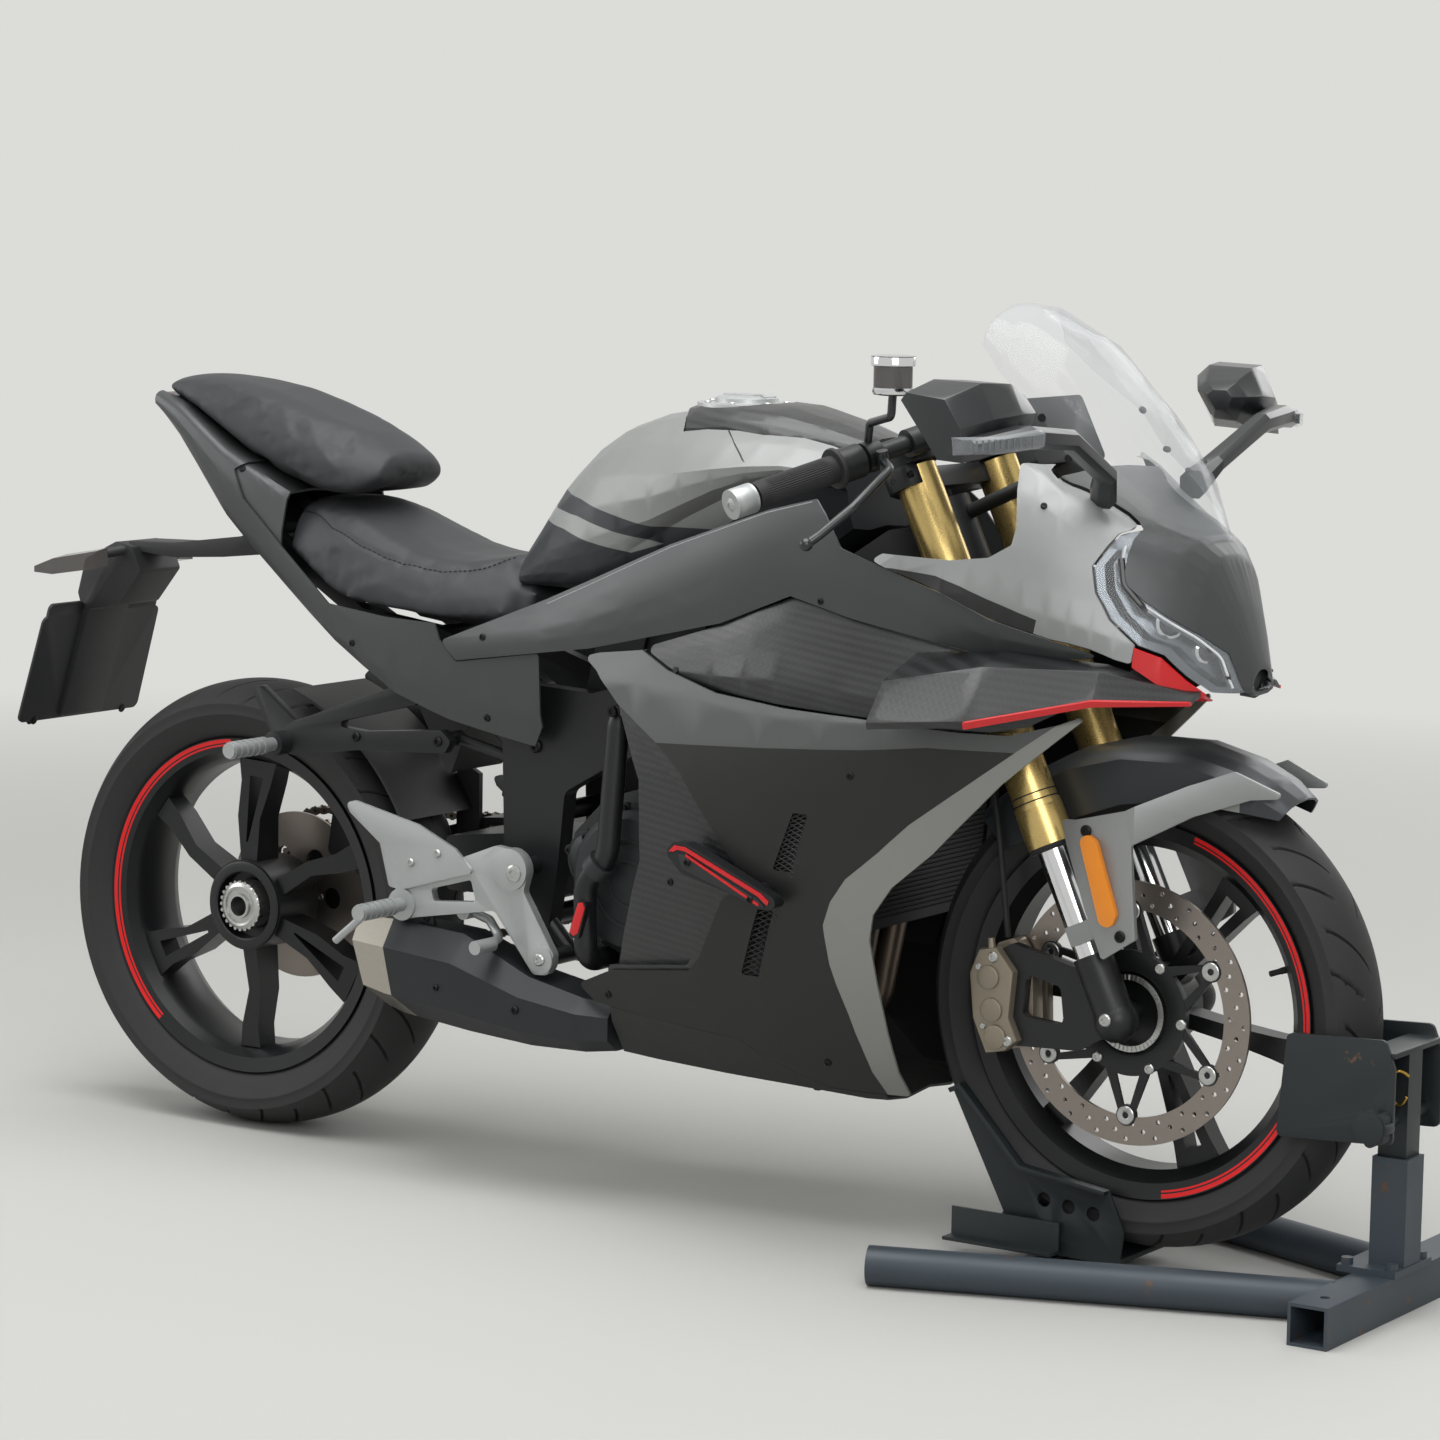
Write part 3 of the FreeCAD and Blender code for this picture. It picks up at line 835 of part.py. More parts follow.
def fork():
    """Upside-down fork with its clamps, bars, controls, mudguard and brake."""
    tubes, sliders, feet = [], [], []
    for s in (-1, 1):
        y = s * FORK_HALF_SPACING
        outer = rod(on_fork(SLIDER_TOP, y), on_fork(OUTER_TUBE_TOP, y), OUTER_TUBE_R)
        collar = rod(on_fork(SLIDER_TOP, y), on_fork(SLIDER_TOP + 52, y), OUTER_TUBE_R + 1.5)
        bore = rod(on_fork(SLIDER_TOP - 1, y), on_fork(SLIDER_TOP + 120, y), SLIDER_R)
        tubes.append(fused([outer, collar]).cut(bore))
        sliders.append(rod(on_fork(SLIDER_LOW, y), on_fork(SLIDER_TOP + 120, y), SLIDER_R))
        barrel = rod(on_fork(-6, y), on_fork(SLIDER_LOW, y), FOOT_R)
        ball = Part.makeSphere(FOOT_R + 3, on_fork(-4, y))
        feet.append(fused([barrel, ball]))
    axle = rod(on_fork(0, -FORK_HALF_SPACING), on_fork(0, FORK_HALF_SPACING), AXLE_R)
    mount = prism([on_fork(up, -106, ahead) for up, ahead in ((66, -16), (126, -94), (122, -122),
                   (60, -150), (14, -148), (-22, -60), (-18, -12))], V(0, 14, 0), 8)
    mount = mount.cut(prism([on_fork(up, -140, ahead) for up, ahead in ((56, -52), (86, -90), (40, -116),
                             (12, -66))], V(0, 60, 0), 8))
    spacers = [rod(on_fork(0, s * 52), on_fork(0, s * 80), 17) for s in (-1, 1)]
    spacers[0] = rod(on_fork(0, -68), on_fork(0, -80), 17)
    feet = fused(feet + [axle, mount] + spacers)
    clamps = []
    for up in (LOWER_CLAMP, UPPER_CLAMP):
        half = CLAMP_THICKNESS / 2
        plan = [on_fork(up - half, -134, 26), on_fork(up - half, -134, -26), on_fork(up - half, -60, -52),
                on_fork(up - half, 60, -52), on_fork(up - half, 134, -26), on_fork(up - half, 134, 26),
                on_fork(up - half, 60, -4), on_fork(up - half, -60, -4)]
        plate = prism(plan, UP_FORK * CLAMP_THICKNESS, 20)
        for s in (-1, 1):
            y = s * FORK_HALF_SPACING
            plate = plate.cut(rod(on_fork(up - 40, y), on_fork(up + 40, y), OUTER_TUBE_R))
        clamps.append(plate)
    stem = rod(on_fork(LOWER_CLAMP, 0, -FORK_OFFSET), on_fork(UPPER_CLAMP, 0, -FORK_OFFSET), STEM_R)
    clamps = fused(clamps + [stem])
    bars, grips, metal = [], [], []
    for s in (-1, 1):
        y = s * FORK_HALF_SPACING
        cap = rod(on_fork(UPPER_CLAMP + 13.3, y), on_fork(OUTER_TUBE_TOP + 22, y), OUTER_TUBE_R + 8).cut(
            rod(on_fork(UPPER_CLAMP, y), on_fork(OUTER_TUBE_TOP + SEAT_GAP, y), OUTER_TUBE_R))
        inner_end = V(1102, s * 128, 998)
        outer_end = V(1007, s * 350, 934)
        along = (outer_end - inner_end).normalize()
        riser = rod(on_fork(OUTER_TUBE_TOP + 18, y), inner_end + V(-6, 0, -4), 13)
        bar = rod(inner_end - along * 14, outer_end, BAR_R)
        knuckle = rod(inner_end - along * 16, inner_end + along * 22, 17)
        flange = outer_end - along * 122
        pod = rod(flange - along * 34, flange - along * 3, 21)
        perch = rod(flange - along * 62, flange - along * 40, PERCH_R)
        bars.append(fused([cap, riser, bar, knuckle, pod, perch]))
        sleeve = fused([rod(flange, outer_end - along * 4, GRIP_R),
                        rod(flange - along * 2, flange + along * 3, GRIP_R + 8)])
        grips.append(sleeve.cut(rod(flange - along * 20, outer_end + along, BAR_R)))
        metal.append(rod(outer_end + along * 0.2, outer_end + along * 30, BAR_WEIGHT_R))
        ahead = (V(1, 0, 0) - along * along.x).normalize()
        upward = along.cross(ahead) * -s
        middle = flange - along * 51
        pivot = middle + ahead * (PERCH_R + SEAT_GAP + LEVER_HINGE_R)
        hinge = rod(pivot - upward * 12, pivot + upward * 12, LEVER_HINGE_R)
        blade = bent_bar([pivot, pivot + V(24, s * 22, -8), V(1112, s * 296, 925), V(1086, s * 330, 892),
                          V(1077, s * 340, 883)], 5.5, 18)
        metal.append(fused([hinge, blade, Part.makeSphere(8, V(1077, s * 340, 883))]))
        if s < 0:
            foot = middle + upward * (PERCH_R + SEAT_GAP)
    reservoir = fused([rod(V(1134, -248, 1056), V(1134, -248, 1094), 23),
                       rod(V(1134, -248, 1094), V(1134, -248, 1101), 26)])
    stalk = bent_bar([V(1134, -248, 1056), V(1132, -247, 1030), foot + V(6, -6, 22), foot], 5, 8)
    metal.append(fused([reservoir, stalk]))
    return {"fork_tubes": tubes, "fork_sliders": sliders, "fork_feet": [feet], "triple_clamps": [clamps],
            "handlebars": bars, "grips": grips, "bar_metalwork": metal}


def front_fittings():
    """Mudguard, its silver side plates with reflectors, the caliper and its hose."""
    # angle from straight ahead, outer radius, half width, how far the sides reach down
    table = [(54, 334, 42, 8), (60, 335, 56, 22), (68, 334, 61, 36), (80, 331, 65, 46), (94, 326, 66.6, 54),
             (108, 321, 66.6, 58), (122, 317, 66.6, 54), (134, 315, 66, 44)]
    wires = []
    for degrees, radius, half, drop in table:
        a = math.radians(degrees)
        out = V(math.cos(a), 0, math.sin(a))
        ring = [(radius, 0), (radius - 3, half * 0.5), (radius - 10, half * 0.84), (radius - 22, half),
                (radius - 22 - drop, half + 2), (radius - 22 - drop, half - 1.5), (radius - 22, half - 3.5),
                (radius - 13, half * 0.8), (radius - 6, half * 0.48), (radius - 3, 0)]
        points = [FRONT_AXLE + out * r + V(0, y, 0) for r, y in ring]
        wires.append(Part.makePolygon(points + [points[0]]))
    half_guard = Part.makeLoft(wires, True, True)
    guard = fused([half_guard, mirrored(half_guard)])
    plate = side_prism([(1304, 558), (1322, 559), (1393, 577), (1454, 608), (1503, 627), (1571, 600),
                        (1524, 595), (1458, 571), (1403, 537), (1410, 425), (1368, 397), (1310, 534)], 0, 200, 4)
    thick = 5.0
    plan = plan_prism([(1300, 116), (1345, 128), (1404, 128), (1460, 76), (1510, 66), (1580, 56),
                       (1580, 56 + thick), (1512, 66 + thick), (1462, 76 + thick * 1.4), (1406, 128 + thick),
                       (1343, 128 + thick), (1300, 116 + thick)], 380, 660)
    plate = plate.common(plan)
    seat = FORK_HALF_SPACING + SLIDER_R + SEAT_GAP
    lug = prism([on_fork(up, seat, ahead) for up, ahead in ((94, -6), (94, 44), (118, 44), (118, -6))],
                V(0, 128.5 - seat, 0))
    plate = fused([plate, lug])
    lamp = side_prism([(1338, 539), (1349, 547), (1361, 539), (1390, 454), (1384, 438), (1368, 440)],
                      128 + thick + SEAT_GAP, 128 + thick + 9, 10)
    body = prism([on_fork(up, -92 + SEAT_GAP, ahead) for up, ahead in ((132, -96), (134, -122), (72, -166),
                  (14, -178), (6, -140), (22, -116), (90, -88))], V(0, 50, 0), 8)
    slot = rod(FRONT_AXLE + V(0, FRONT_DISC_Y - 5.5, 0), FRONT_AXLE + V(0, FRONT_DISC_Y + 5.5, 0), FRONT_DISC_R + 6)
    body = body.cut(slot)
    hose = bent_bar([on_fork(136, -80, -112), on_fork(180, -80, -98), on_fork(300, -76, -62),
                     on_fork(420, -68, -46), on_fork(LOWER_CLAMP - CLAMP_THICKNESS / 2 - SEAT_GAP, -66, -40)],
                    4, 90)
    return {"front_mudguard": [guard], "guard_plates": pair(plate), "reflectors": pair(lamp),
            "front_caliper": [body], "brake_hose": [hose]}


def chock():
    """Stand that the front wheel is rolled into: base tubes, post, side plates and rocking cradle."""
    half = CHOCK_TUBE / 2
    bar = Part.makeBox(CHOCK_TUBE, 2 * CHOCK_HALF_WIDTH, CHOCK_TUBE, V(CHOCK_FRONT_X - half, -CHOCK_HALF_WIDTH, 0))
    bar = bar.cut(Part.makeBox(CHOCK_TUBE - 8, 2 * CHOCK_HALF_WIDTH + 2, CHOCK_TUBE - 8,
                               V(CHOCK_FRONT_X - half + 4, -CHOCK_HALF_WIDTH - 1, 4)))
    for s in (-1, 1):
        bar = bar.cut(rod(V(CHOCK_FRONT_X, s * 172, -1), V(CHOCK_FRONT_X, s * 172, 60), 6))
    legs = []
    for s in (-1, 1):
        start, end = V(CHOCK_FRONT_X - 20, s * 84, CHOCK_LEG_R), V(1142, s * 273, CHOCK_LEG_R)
        leg = rod(start, end, CHOCK_LEG_R).cut(rod(start, end + (end - start), CHOCK_LEG_R - 3))
        leg = leg.cut(Part.makeBox(200, 500, 200, V(CHOCK_FRONT_X - half, -250, -50)))
        legs.append(leg)
    tie = Part.makeBox(36, 456, 6, V(1236, -228, 2))
    base_plate = Part.makeBox(75, 100, 8, V(CHOCK_FRONT_X - 45, -50, CHOCK_TUBE))
    post = Part.makeBox(45, 45, 128, V(CHOCK_FRONT_X - 17, -22.5, CHOCK_TUBE + 8))
    inner = Part.makeBox(36, 36, 130, V(CHOCK_FRONT_X - 12.5, -18, CHOCK_TUBE + 136))
    bolts = [rod(V(CHOCK_FRONT_X + dx, dy, CHOCK_TUBE + 8), V(CHOCK_FRONT_X + dx, dy, CHOCK_TUBE + 16), 7)
             for dx in (-36, 21) for dy in (-40, 40)]
    base = fused([bar] + legs + [tie, base_plate, post] + bolts)
    fork_head = Part.makeBox(42, 2 * CHEEK_Y + 2, 6, V(CHOCK_FRONT_X - 15, -CHEEK_Y - 1, 312))
    plates = []
    for s in (-1, 1):
        wall = side_prism([(1580, 327), (1705, 333), (1718, 300), (1718, 211), (1569, 203)],
                          min(s * CHEEK_Y, s * (CHEEK_Y + 5)), max(s * CHEEK_Y, s * (CHEEK_Y + 5)), 8)
        plates.append(wall)
    cross = rod(V(CHOCK_FRONT_X + 8, -CHEEK_Y - 1, 232), V(CHOCK_FRONT_X + 8, CHEEK_Y + 1, 232), 7)
    lobes = [rod(V(CHOCK_FRONT_X + 8, -66, 232), V(CHOCK_FRONT_X + 8, -88, 232), 18)]
    for i in range(8):
        a = math.pi * i / 4
        at = V(CHOCK_FRONT_X + 8 + 15 * math.cos(a), -66, 232 + 15 * math.sin(a))
        lobes.append(rod(at, at + V(0, -20, 0), 7.5))
    lobes.append(rod(V(CHOCK_FRONT_X + 8, -60, 232), V(CHOCK_FRONT_X + 8, -68, 232), 9))
    head = fused([fork_head] + plates + [inner, cross] + lobes)
    rocker = [(1130, 204), (1146, 212), (1232, 122), (1350, 106), (1372, 58), (1366, 16), (1236, 16),
              (1206, 60)]
    sides = [side_prism(rocker, min(s * CHEEK_Y, s * (CHEEK_Y + 4)), max(s * CHEEK_Y, s * (CHEEK_Y + 4)), 4)
             for s in (-1, 1)]
    notched = []
    for wall in sides:
        for x in (1262, 1296, 1330):
            wall = wall.cut(rod(V(x, -80, 82 - (x - 1262) * 0.12), V(x, 80, 82 - (x - 1262) * 0.12), 9))
        notched.append(wall)
    lips = [side_prism([(1130, 204), (1146, 212), (1232, 122), (1350, 106), (1349, 101), (1229, 116),
                        (1144, 205), (1133, 199)], min(s * CHEEK_Y, s * (CHEEK_Y + 15)),
                       max(s * CHEEK_Y, s * (CHEEK_Y + 15))) for s in (-1, 1)]
    pan = side_prism([(1206, 60), (1240, 22), (1366, 22), (1366, 16), (1236, 16), (1200, 54)],
                     -CHEEK_Y - 2, CHEEK_Y + 2)
    pan = pan.fuse([Part.makeBox(30, 60, 8, V(1240, -30, 8))])
    brackets = [fused([Part.makeBox(150, 4, 34, V(1138, min(s * 70, s * 74), 24)),
                       Part.makeBox(150, 26, 4, V(1138, min(s * 70, s * 96), 20)),
                       rod(V(1270, s * 64, 44), V(1270, s * 72, 44), 8)]) for s in (-1, 1)]
    return {"chock_base": [base], "chock_head": [head],
            "chock_cradle": [fused(notched + lips + [pan] + brackets)]}


def build():
    """Every node with its solids, in the building frame."""
    nodes = {"main_frame": [frame()]}
    for group in (engine, rear_drive, exhaust, footrests, seats_and_tail, bodywork, front_bodywork,
                  side_stand, fork, front_fittings, chock, front_wheel, rear_wheel):
        for name, solids in group().items():
            nodes.setdefault(name, []).extend(solids)
    return nodes


def main():
    """Build, move the origin under the middle, and write one file for each node."""
    os.makedirs("parts", exist_ok=True)
    nodes = {name: Part.makeCompound(solids) if len(solids) > 1 else solids[0]
             for name, solids in build().items()}
    box = Part.makeCompound(list(nodes.values())).optimalBoundingBox(False)
    shift = V(-(box.XMin + box.XMax) / 2, -(box.YMin + box.YMax) / 2, -box.ZMin)
    for name, shape in nodes.items():
        shape.translate(shift)
        shape.exportStep("parts/" + name + ".step")
    print("origin shift", round(shift.x, 4), round(shift.y, 4), round(shift.z, 4))
    print("size", round(box.XLength, 1), round(box.YLength, 1), round(box.ZLength, 1))


main()
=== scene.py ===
"""Looks of a full-faired sport motorcycle whose front tyre stands in a wheel chock.

Metres, +X forward, +Y to the motorcycle's left, +Z up from the floor.
"""

import json
import logging
import math
from collections.abc import Callable
from dataclasses import dataclass, field
from enum import Enum

import bmesh
import bpy
from mathutils import Matrix, Vector
from mathutils.bvhtree import BVHTree

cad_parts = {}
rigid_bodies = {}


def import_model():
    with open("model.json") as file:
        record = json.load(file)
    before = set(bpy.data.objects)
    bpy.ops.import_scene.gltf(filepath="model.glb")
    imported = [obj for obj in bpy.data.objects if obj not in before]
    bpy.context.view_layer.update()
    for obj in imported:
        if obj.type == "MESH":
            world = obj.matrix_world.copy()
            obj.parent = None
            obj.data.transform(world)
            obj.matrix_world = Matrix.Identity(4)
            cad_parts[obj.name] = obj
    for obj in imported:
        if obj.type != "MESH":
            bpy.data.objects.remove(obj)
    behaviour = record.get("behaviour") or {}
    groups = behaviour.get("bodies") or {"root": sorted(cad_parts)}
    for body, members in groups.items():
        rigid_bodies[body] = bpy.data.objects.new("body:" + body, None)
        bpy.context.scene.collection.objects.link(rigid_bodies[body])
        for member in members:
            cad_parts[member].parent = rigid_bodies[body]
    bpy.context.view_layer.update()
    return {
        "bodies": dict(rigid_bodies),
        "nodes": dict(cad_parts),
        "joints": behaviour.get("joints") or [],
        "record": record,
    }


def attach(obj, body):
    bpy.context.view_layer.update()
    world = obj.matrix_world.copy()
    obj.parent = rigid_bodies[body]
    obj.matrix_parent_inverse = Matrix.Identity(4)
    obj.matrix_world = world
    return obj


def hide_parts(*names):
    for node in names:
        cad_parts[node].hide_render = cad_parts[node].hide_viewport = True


LOG = logging.getLogger("motorcycle")

FRONT_AXLE = Vector((0.685, 0.0, 0.3245))
REAR_AXLE = Vector((-0.685, 0.0, 0.306))
WHEELBASE_SHIFT = 0.685
RAKE = math.radians(25.0)
UP_FORK = Vector((-math.sin(RAKE), 0.0, math.cos(RAKE)))
AHEAD = Vector((math.cos(RAKE), 0.0, math.sin(RAKE)))
SIDEWAYS = Vector((0.0, 1.0, 0.0))
SIDES = (-1, 1)

Colour = tuple[float, float, float, float]
Mesh = bmesh.types.BMesh


def linear(code: str) -> Colour:
    """Turn an sRGB hex colour into the linear colour that a shader takes.

    Args:
        code: Six hex digits, such as "8a8d90".

    Returns:
        Linear red, green and blue, with an alpha of one.
    """
    parts = [int(code[i:i + 2], 16) / 255 for i in (0, 2, 4)]
    turned = [p / 12.92 if p <= 0.04045 else ((p + 0.055) / 1.055) ** 2.4 for p in parts]
    return (*turned, 1.0)


def add(tree: bpy.types.NodeTree, kind: str, links: dict | None = None, **settings) -> bpy.types.Node:
    """Add a shader node with its settings and links.

    Args:
        tree: The material's node tree.
        kind: The node type, without its ShaderNode prefix.
        links: For each input, by name or number, the socket that feeds it or its value.
        settings: Attributes of the node, such as operation="ADD".

    Returns:
        The new node.
    """
    made = tree.nodes.new("ShaderNode" + kind)
    for name, value in settings.items():
        setattr(made, name, value)
    for key, value in (links or {}).items():
        if isinstance(value, bpy.types.NodeSocket):
            tree.links.new(value, made.inputs[key])
        else:
            made.inputs[key].default_value = value
    return made


def work(x: float, y: float, z: float) -> Vector:
    """Turn millimetres measured from under the rear axle into a point of the frame, in metres."""
    return Vector((x / 1000 - WHEELBASE_SHIFT, y / 1000, z / 1000))


def on_fork(up: float, y: float, ahead: float = 0.0) -> Vector:
    """A point beside the fork: millimetres up it from the front axle, across, and ahead of it."""
    return FRONT_AXLE + UP_FORK * (up / 1000) + AHEAD * (ahead / 1000) + Vector((0, y / 1000, 0))


def radial(turn: float) -> Vector:
    """The way out from a wheel's middle at an angle of the side view."""
    return Vector((math.cos(turn), 0, math.sin(turn)))


def spun(mesh: Mesh, profile: list[tuple[float, float]], centre: Vector, axis: Vector = SIDEWAYS,
         steps: int = 48) -> None:
    """Turn an outline about an axis; one that starts and ends on the axis is left open there.

    Args:
        mesh: The mesh that takes the turned shape.
        profile: (radius, distance along the axis) in millimetres.
        centre: A point of the axis, in metres.
        axis: The axis, of unit length.
        steps: Steps in the full turn.
    """
    out = axis.orthogonal().normalized()
    points = [mesh.verts.new(centre + out * (radius / 1000) + axis * (along / 1000))
              for radius, along in profile]
    open_ended = profile[0][0] == 0 and profile[-1][0] == 0
    ends = points[1:] if open_ended else points[1:] + points[:1]
    edges = [mesh.edges.new(pair) for pair in zip(points, ends)]
    bmesh.ops.spin(mesh, geom=points + edges, cent=centre, axis=axis, angle=math.tau, steps=steps,
                   use_merge=True, use_duplicate=False)


def rod(mesh: Mesh, start: Vector, end: Vector, radius: float, far: float | None = None,
        sides: int = 20) -> None:
    """Round bar or cone between two points.

    Args:
        mesh: The mesh that takes it.
        start: The middle of one end, in metres.
        end: The middle of the other end.
        radius: Radius in millimetres.
        far: Radius at the other end, if it differs.
        sides: Sides of the bar.
    """
    way = end - start
    place = Matrix.Translation((start + end) / 2) @ way.to_track_quat("Z", "Y").to_matrix().to_4x4()
    bmesh.ops.create_cone(mesh, cap_ends=True, segments=sides, radius1=radius / 1000,
                          radius2=(radius if far is None else far) / 1000, depth=way.length, matrix=place)


def slab(mesh: Mesh, corners: list[Vector], thickness: Vector, broken: float = 0.0) -> None:
    """Plate of an outline, pushed along a vector, with the edges of its far face broken.

    Args:
        mesh: The mesh that takes it.
        corners: The outline's corners, in metres.
        thickness: How far and which way it is pushed, in metres.
        broken: Width of the break along the far face's edges, in metres.
    """
    face = mesh.faces.new([mesh.verts.new(corner) for corner in corners])
    pushed = bmesh.ops.extrude_face_region(mesh, geom=[face], use_keep_orig=True)["geom"]
    bmesh.ops.translate(mesh, verts=[g for g in pushed if isinstance(g, bmesh.types.BMVert)], vec=thickness)
    if broken:
        far = [g for g in pushed if isinstance(g, bmesh.types.BMFace)]
        bmesh.ops.bevel(mesh, geom=list({e for f in far for e in f.edges}), offset=broken, segments=2,
                        profile=0.5, affect="EDGES", material=-1)


def screw(mesh: Mesh, place: Vector, out: Vector, radius: float = 5.0, height: float = 3.5) -> None:
    """Socket-headed screw: a slightly domed head with a hexagonal recess.

    Args:
        mesh: The mesh that takes it.
        place: Where the head's underside sits, in metres.
        out: The way it faces, of unit length.
        radius: Radius of the head in millimetres.
        height: Height of the head in millimetres.
    """
    turn = out.to_track_quat("Z", "Y").to_matrix().to_4x4()
    for share, low, high, far in ((1.0, -1.0, height * 0.6, 1.0), (1.0, height * 0.6, height, 0.8)):
        middle = place + out * ((low + high) / 2000)
        made = bmesh.ops.create_cone(mesh, cap_ends=True, segments=18, radius1=radius * share / 1000,
                                     radius2=radius * far / 1000, depth=(high - low) / 1000,
                                     matrix=Matrix.Translation(middle) @ turn)
    faces = {face for vert in made["verts"] for face in vert.link_faces}
    top = max(faces, key=lambda face: face.calc_center_median().dot(out))
    bmesh.ops.inset_individual(mesh, faces=[top], thickness=radius * 0.36 / 1000)
    sunk = bmesh.ops.extrude_discrete_faces(mesh, faces=[top])["faces"]
    bmesh.ops.translate(mesh, verts=list(sunk[0].verts), vec=out * (-height * 0.6 / 1000))


def drawn(points: list[Vector], radius: float, sides: int = 2) -> Mesh:
    """Round bar along one smooth line, with closed ends.

    Args:
        points: Control points of the line, in metres.
        radius: Radius in millimetres.
        sides: Resolution of the round.

    Returns:
        Its mesh.
    """
    data = bpy.data.curves.new("line", "CURVE")
    data.dimensions = "3D"
    data.bevel_depth = radius / 1000
    data.bevel_resolution = sides
    data.use_fill_caps = True
    line = data.splines.new("NURBS")
    line.points.add(len(points) - 1)
    for spot, point in zip(line.points, points):
        spot.co = (*point, 1.0)
    line.order_u = 3
    line.use_endpoint_u = True
    line.resolution_u = 5
    holder = bpy.data.objects.new("line", data)
    bpy.context.scene.collection.objects.link(holder)
    shown = holder.evaluated_get(bpy.context.evaluated_depsgraph_get())
    solid = bpy.data.meshes.new_from_object(shown)
    mesh = bmesh.new()
    mesh.from_mesh(solid)
    bpy.data.objects.remove(holder)
    bpy.data.curves.remove(data)
    bpy.data.meshes.remove(solid)
    return mesh


def merge(mesh: Mesh, other: Mesh) -> None:
    """Add another mesh's geometry to a mesh and free the other.

    Args:
        mesh: The mesh that takes it.
        other: The mesh that is added and freed.
    """
    kept = bpy.data.meshes.new("part")
    other.to_mesh(kept)
    other.free()
    mesh.from_mesh(kept)
    bpy.data.meshes.remove(kept)


class Edge(Enum):
    """How the edges of a piece are finished."""

    SOFT = "smoothed over the gentle turns only"
    BROKEN = "smoothed, with a small break on each sharp edge"
    ROUNDED = "well rounded, as a moulded shell"


@dataclass(frozen=True)
class Finish:
    """A surface: what it is made of, how it was made, and what that gives the eye."""

    name: str
    colour: str
    roughness: float = 0.5
    metallic: float = 0.0
    coat: float = 0.0

    def place(self, tree: bpy.types.NodeTree) -> bpy.types.NodeSocket:
        """The point on the object, in metres."""
        return add(tree, "TexCoord").outputs["Object"]

    def paint(self, tree: bpy.types.NodeTree, base: bpy.types.Node) -> None:
        """Give the base shader its pattern.

        Args:
            tree: The material's node tree.
            base: The Principled node.
        """
        self.grain(tree, base, 900.0, 0.04, 0.06)

    def grain(self, tree: bpy.types.NodeTree, base: bpy.types.Node, scale: float, bump: float,
              mottle: float) -> None:
        """Fine grain in the height and a faint change of shade across the surface.

        Args:
            tree: The material's node tree.
            base: The Principled node.
            scale: Grains per metre.
            bump: Strength of the height.
            mottle: Share by which the colour and the roughness change.
        """
        where = self.place(tree)
        fine = add(tree, "TexNoise", {"Vector": where, "Scale": scale, "Detail": 3.0})
        broad = add(tree, "TexNoise", {"Vector": where, "Scale": 9.0, "Detail": 4.0})
        shade = add(tree, "MapRange", {"Value": broad.outputs["Fac"], "To Min": 1 - mottle,
                                       "To Max": 1 + mottle})
        tint = add(tree, "Mix", {"Factor": 1.0, 6: base.inputs["Base Color"].links[0].from_socket
                                 if base.inputs["Base Color"].links else linear(self.colour),
                                 7: shade.outputs[0]}, data_type="RGBA", blend_type="MULTIPLY")
        rough = add(tree, "MapRange", {"Value": broad.outputs["Fac"],
                                       "To Min": self.roughness * (1 - mottle * 2),
                                       "To Max": self.roughness * (1 + mottle * 2)})
        height = add(tree, "Bump", {"Height": fine.outputs["Fac"], "Strength": bump, "Distance": 0.0004})
        tree.links.new(tint.outputs[2], base.inputs["Base Color"])
        tree.links.new(rough.outputs[0], base.inputs["Roughness"])
        tree.links.new(height.outputs[0], base.inputs["Normal"])

    def make(self) -> bpy.types.Material:
        """Build the material, once.

        Returns:
            The material of this finish's name.
        """
        found = bpy.data.materials.get(self.name)
        if found:
            return found
        made = bpy.data.materials.new(self.name)
        made.use_nodes = True
        base = made.node_tree.nodes["Principled BSDF"]
        base.inputs["Base Color"].default_value = linear(self.colour)
        base.inputs["Roughness"].default_value = self.roughness
        base.inputs["Metallic"].default_value = self.metallic
        base.inputs["Coat Weight"].default_value = self.coat
        base.inputs["Coat Roughness"].default_value = 0.25
        self.paint(made.node_tree, base)
        made.diffuse_color = linear(self.colour)
        return made


@dataclass(frozen=True)
class SatinPaint(Finish):
    """Metal-flake base under a satin clear coat: it brightens towards the light without a mirror image."""

    flake: float = 0.10
    zones: tuple = ()

    def paint(self, tree: bpy.types.NodeTree, base: bpy.types.Node) -> None:
        """Flakes a third of a millimetre wide, then any zones of another colour.

        Args:
            tree: The material's node tree.
            base: The Principled node.
        """
        where = self.place(tree)
        flakes = add(tree, "TexVoronoi", {"Vector": where, "Scale": 3000.0})
        shade = add(tree, "MapRange", {"Value": flakes.outputs["Distance"], "To Min": 1 - self.flake,
                                       "To Max": 1 + self.flake})
        colour = add(tree, "Mix", {"Factor": 1.0, 6: linear(self.colour), 7: shade.outputs[0]},
                     data_type="RGBA", blend_type="MULTIPLY").outputs[2]
        for zone in self.zones:
            inside = zone.mask(tree, where)
            colour = add(tree, "Mix", {"Factor": inside, 6: colour, 7: linear(zone.colour)},
                         data_type="RGBA").outputs[2]
        tree.links.new(colour, base.inputs["Base Color"])
        self.grain(tree, base, 260.0, 0.015, 0.03)


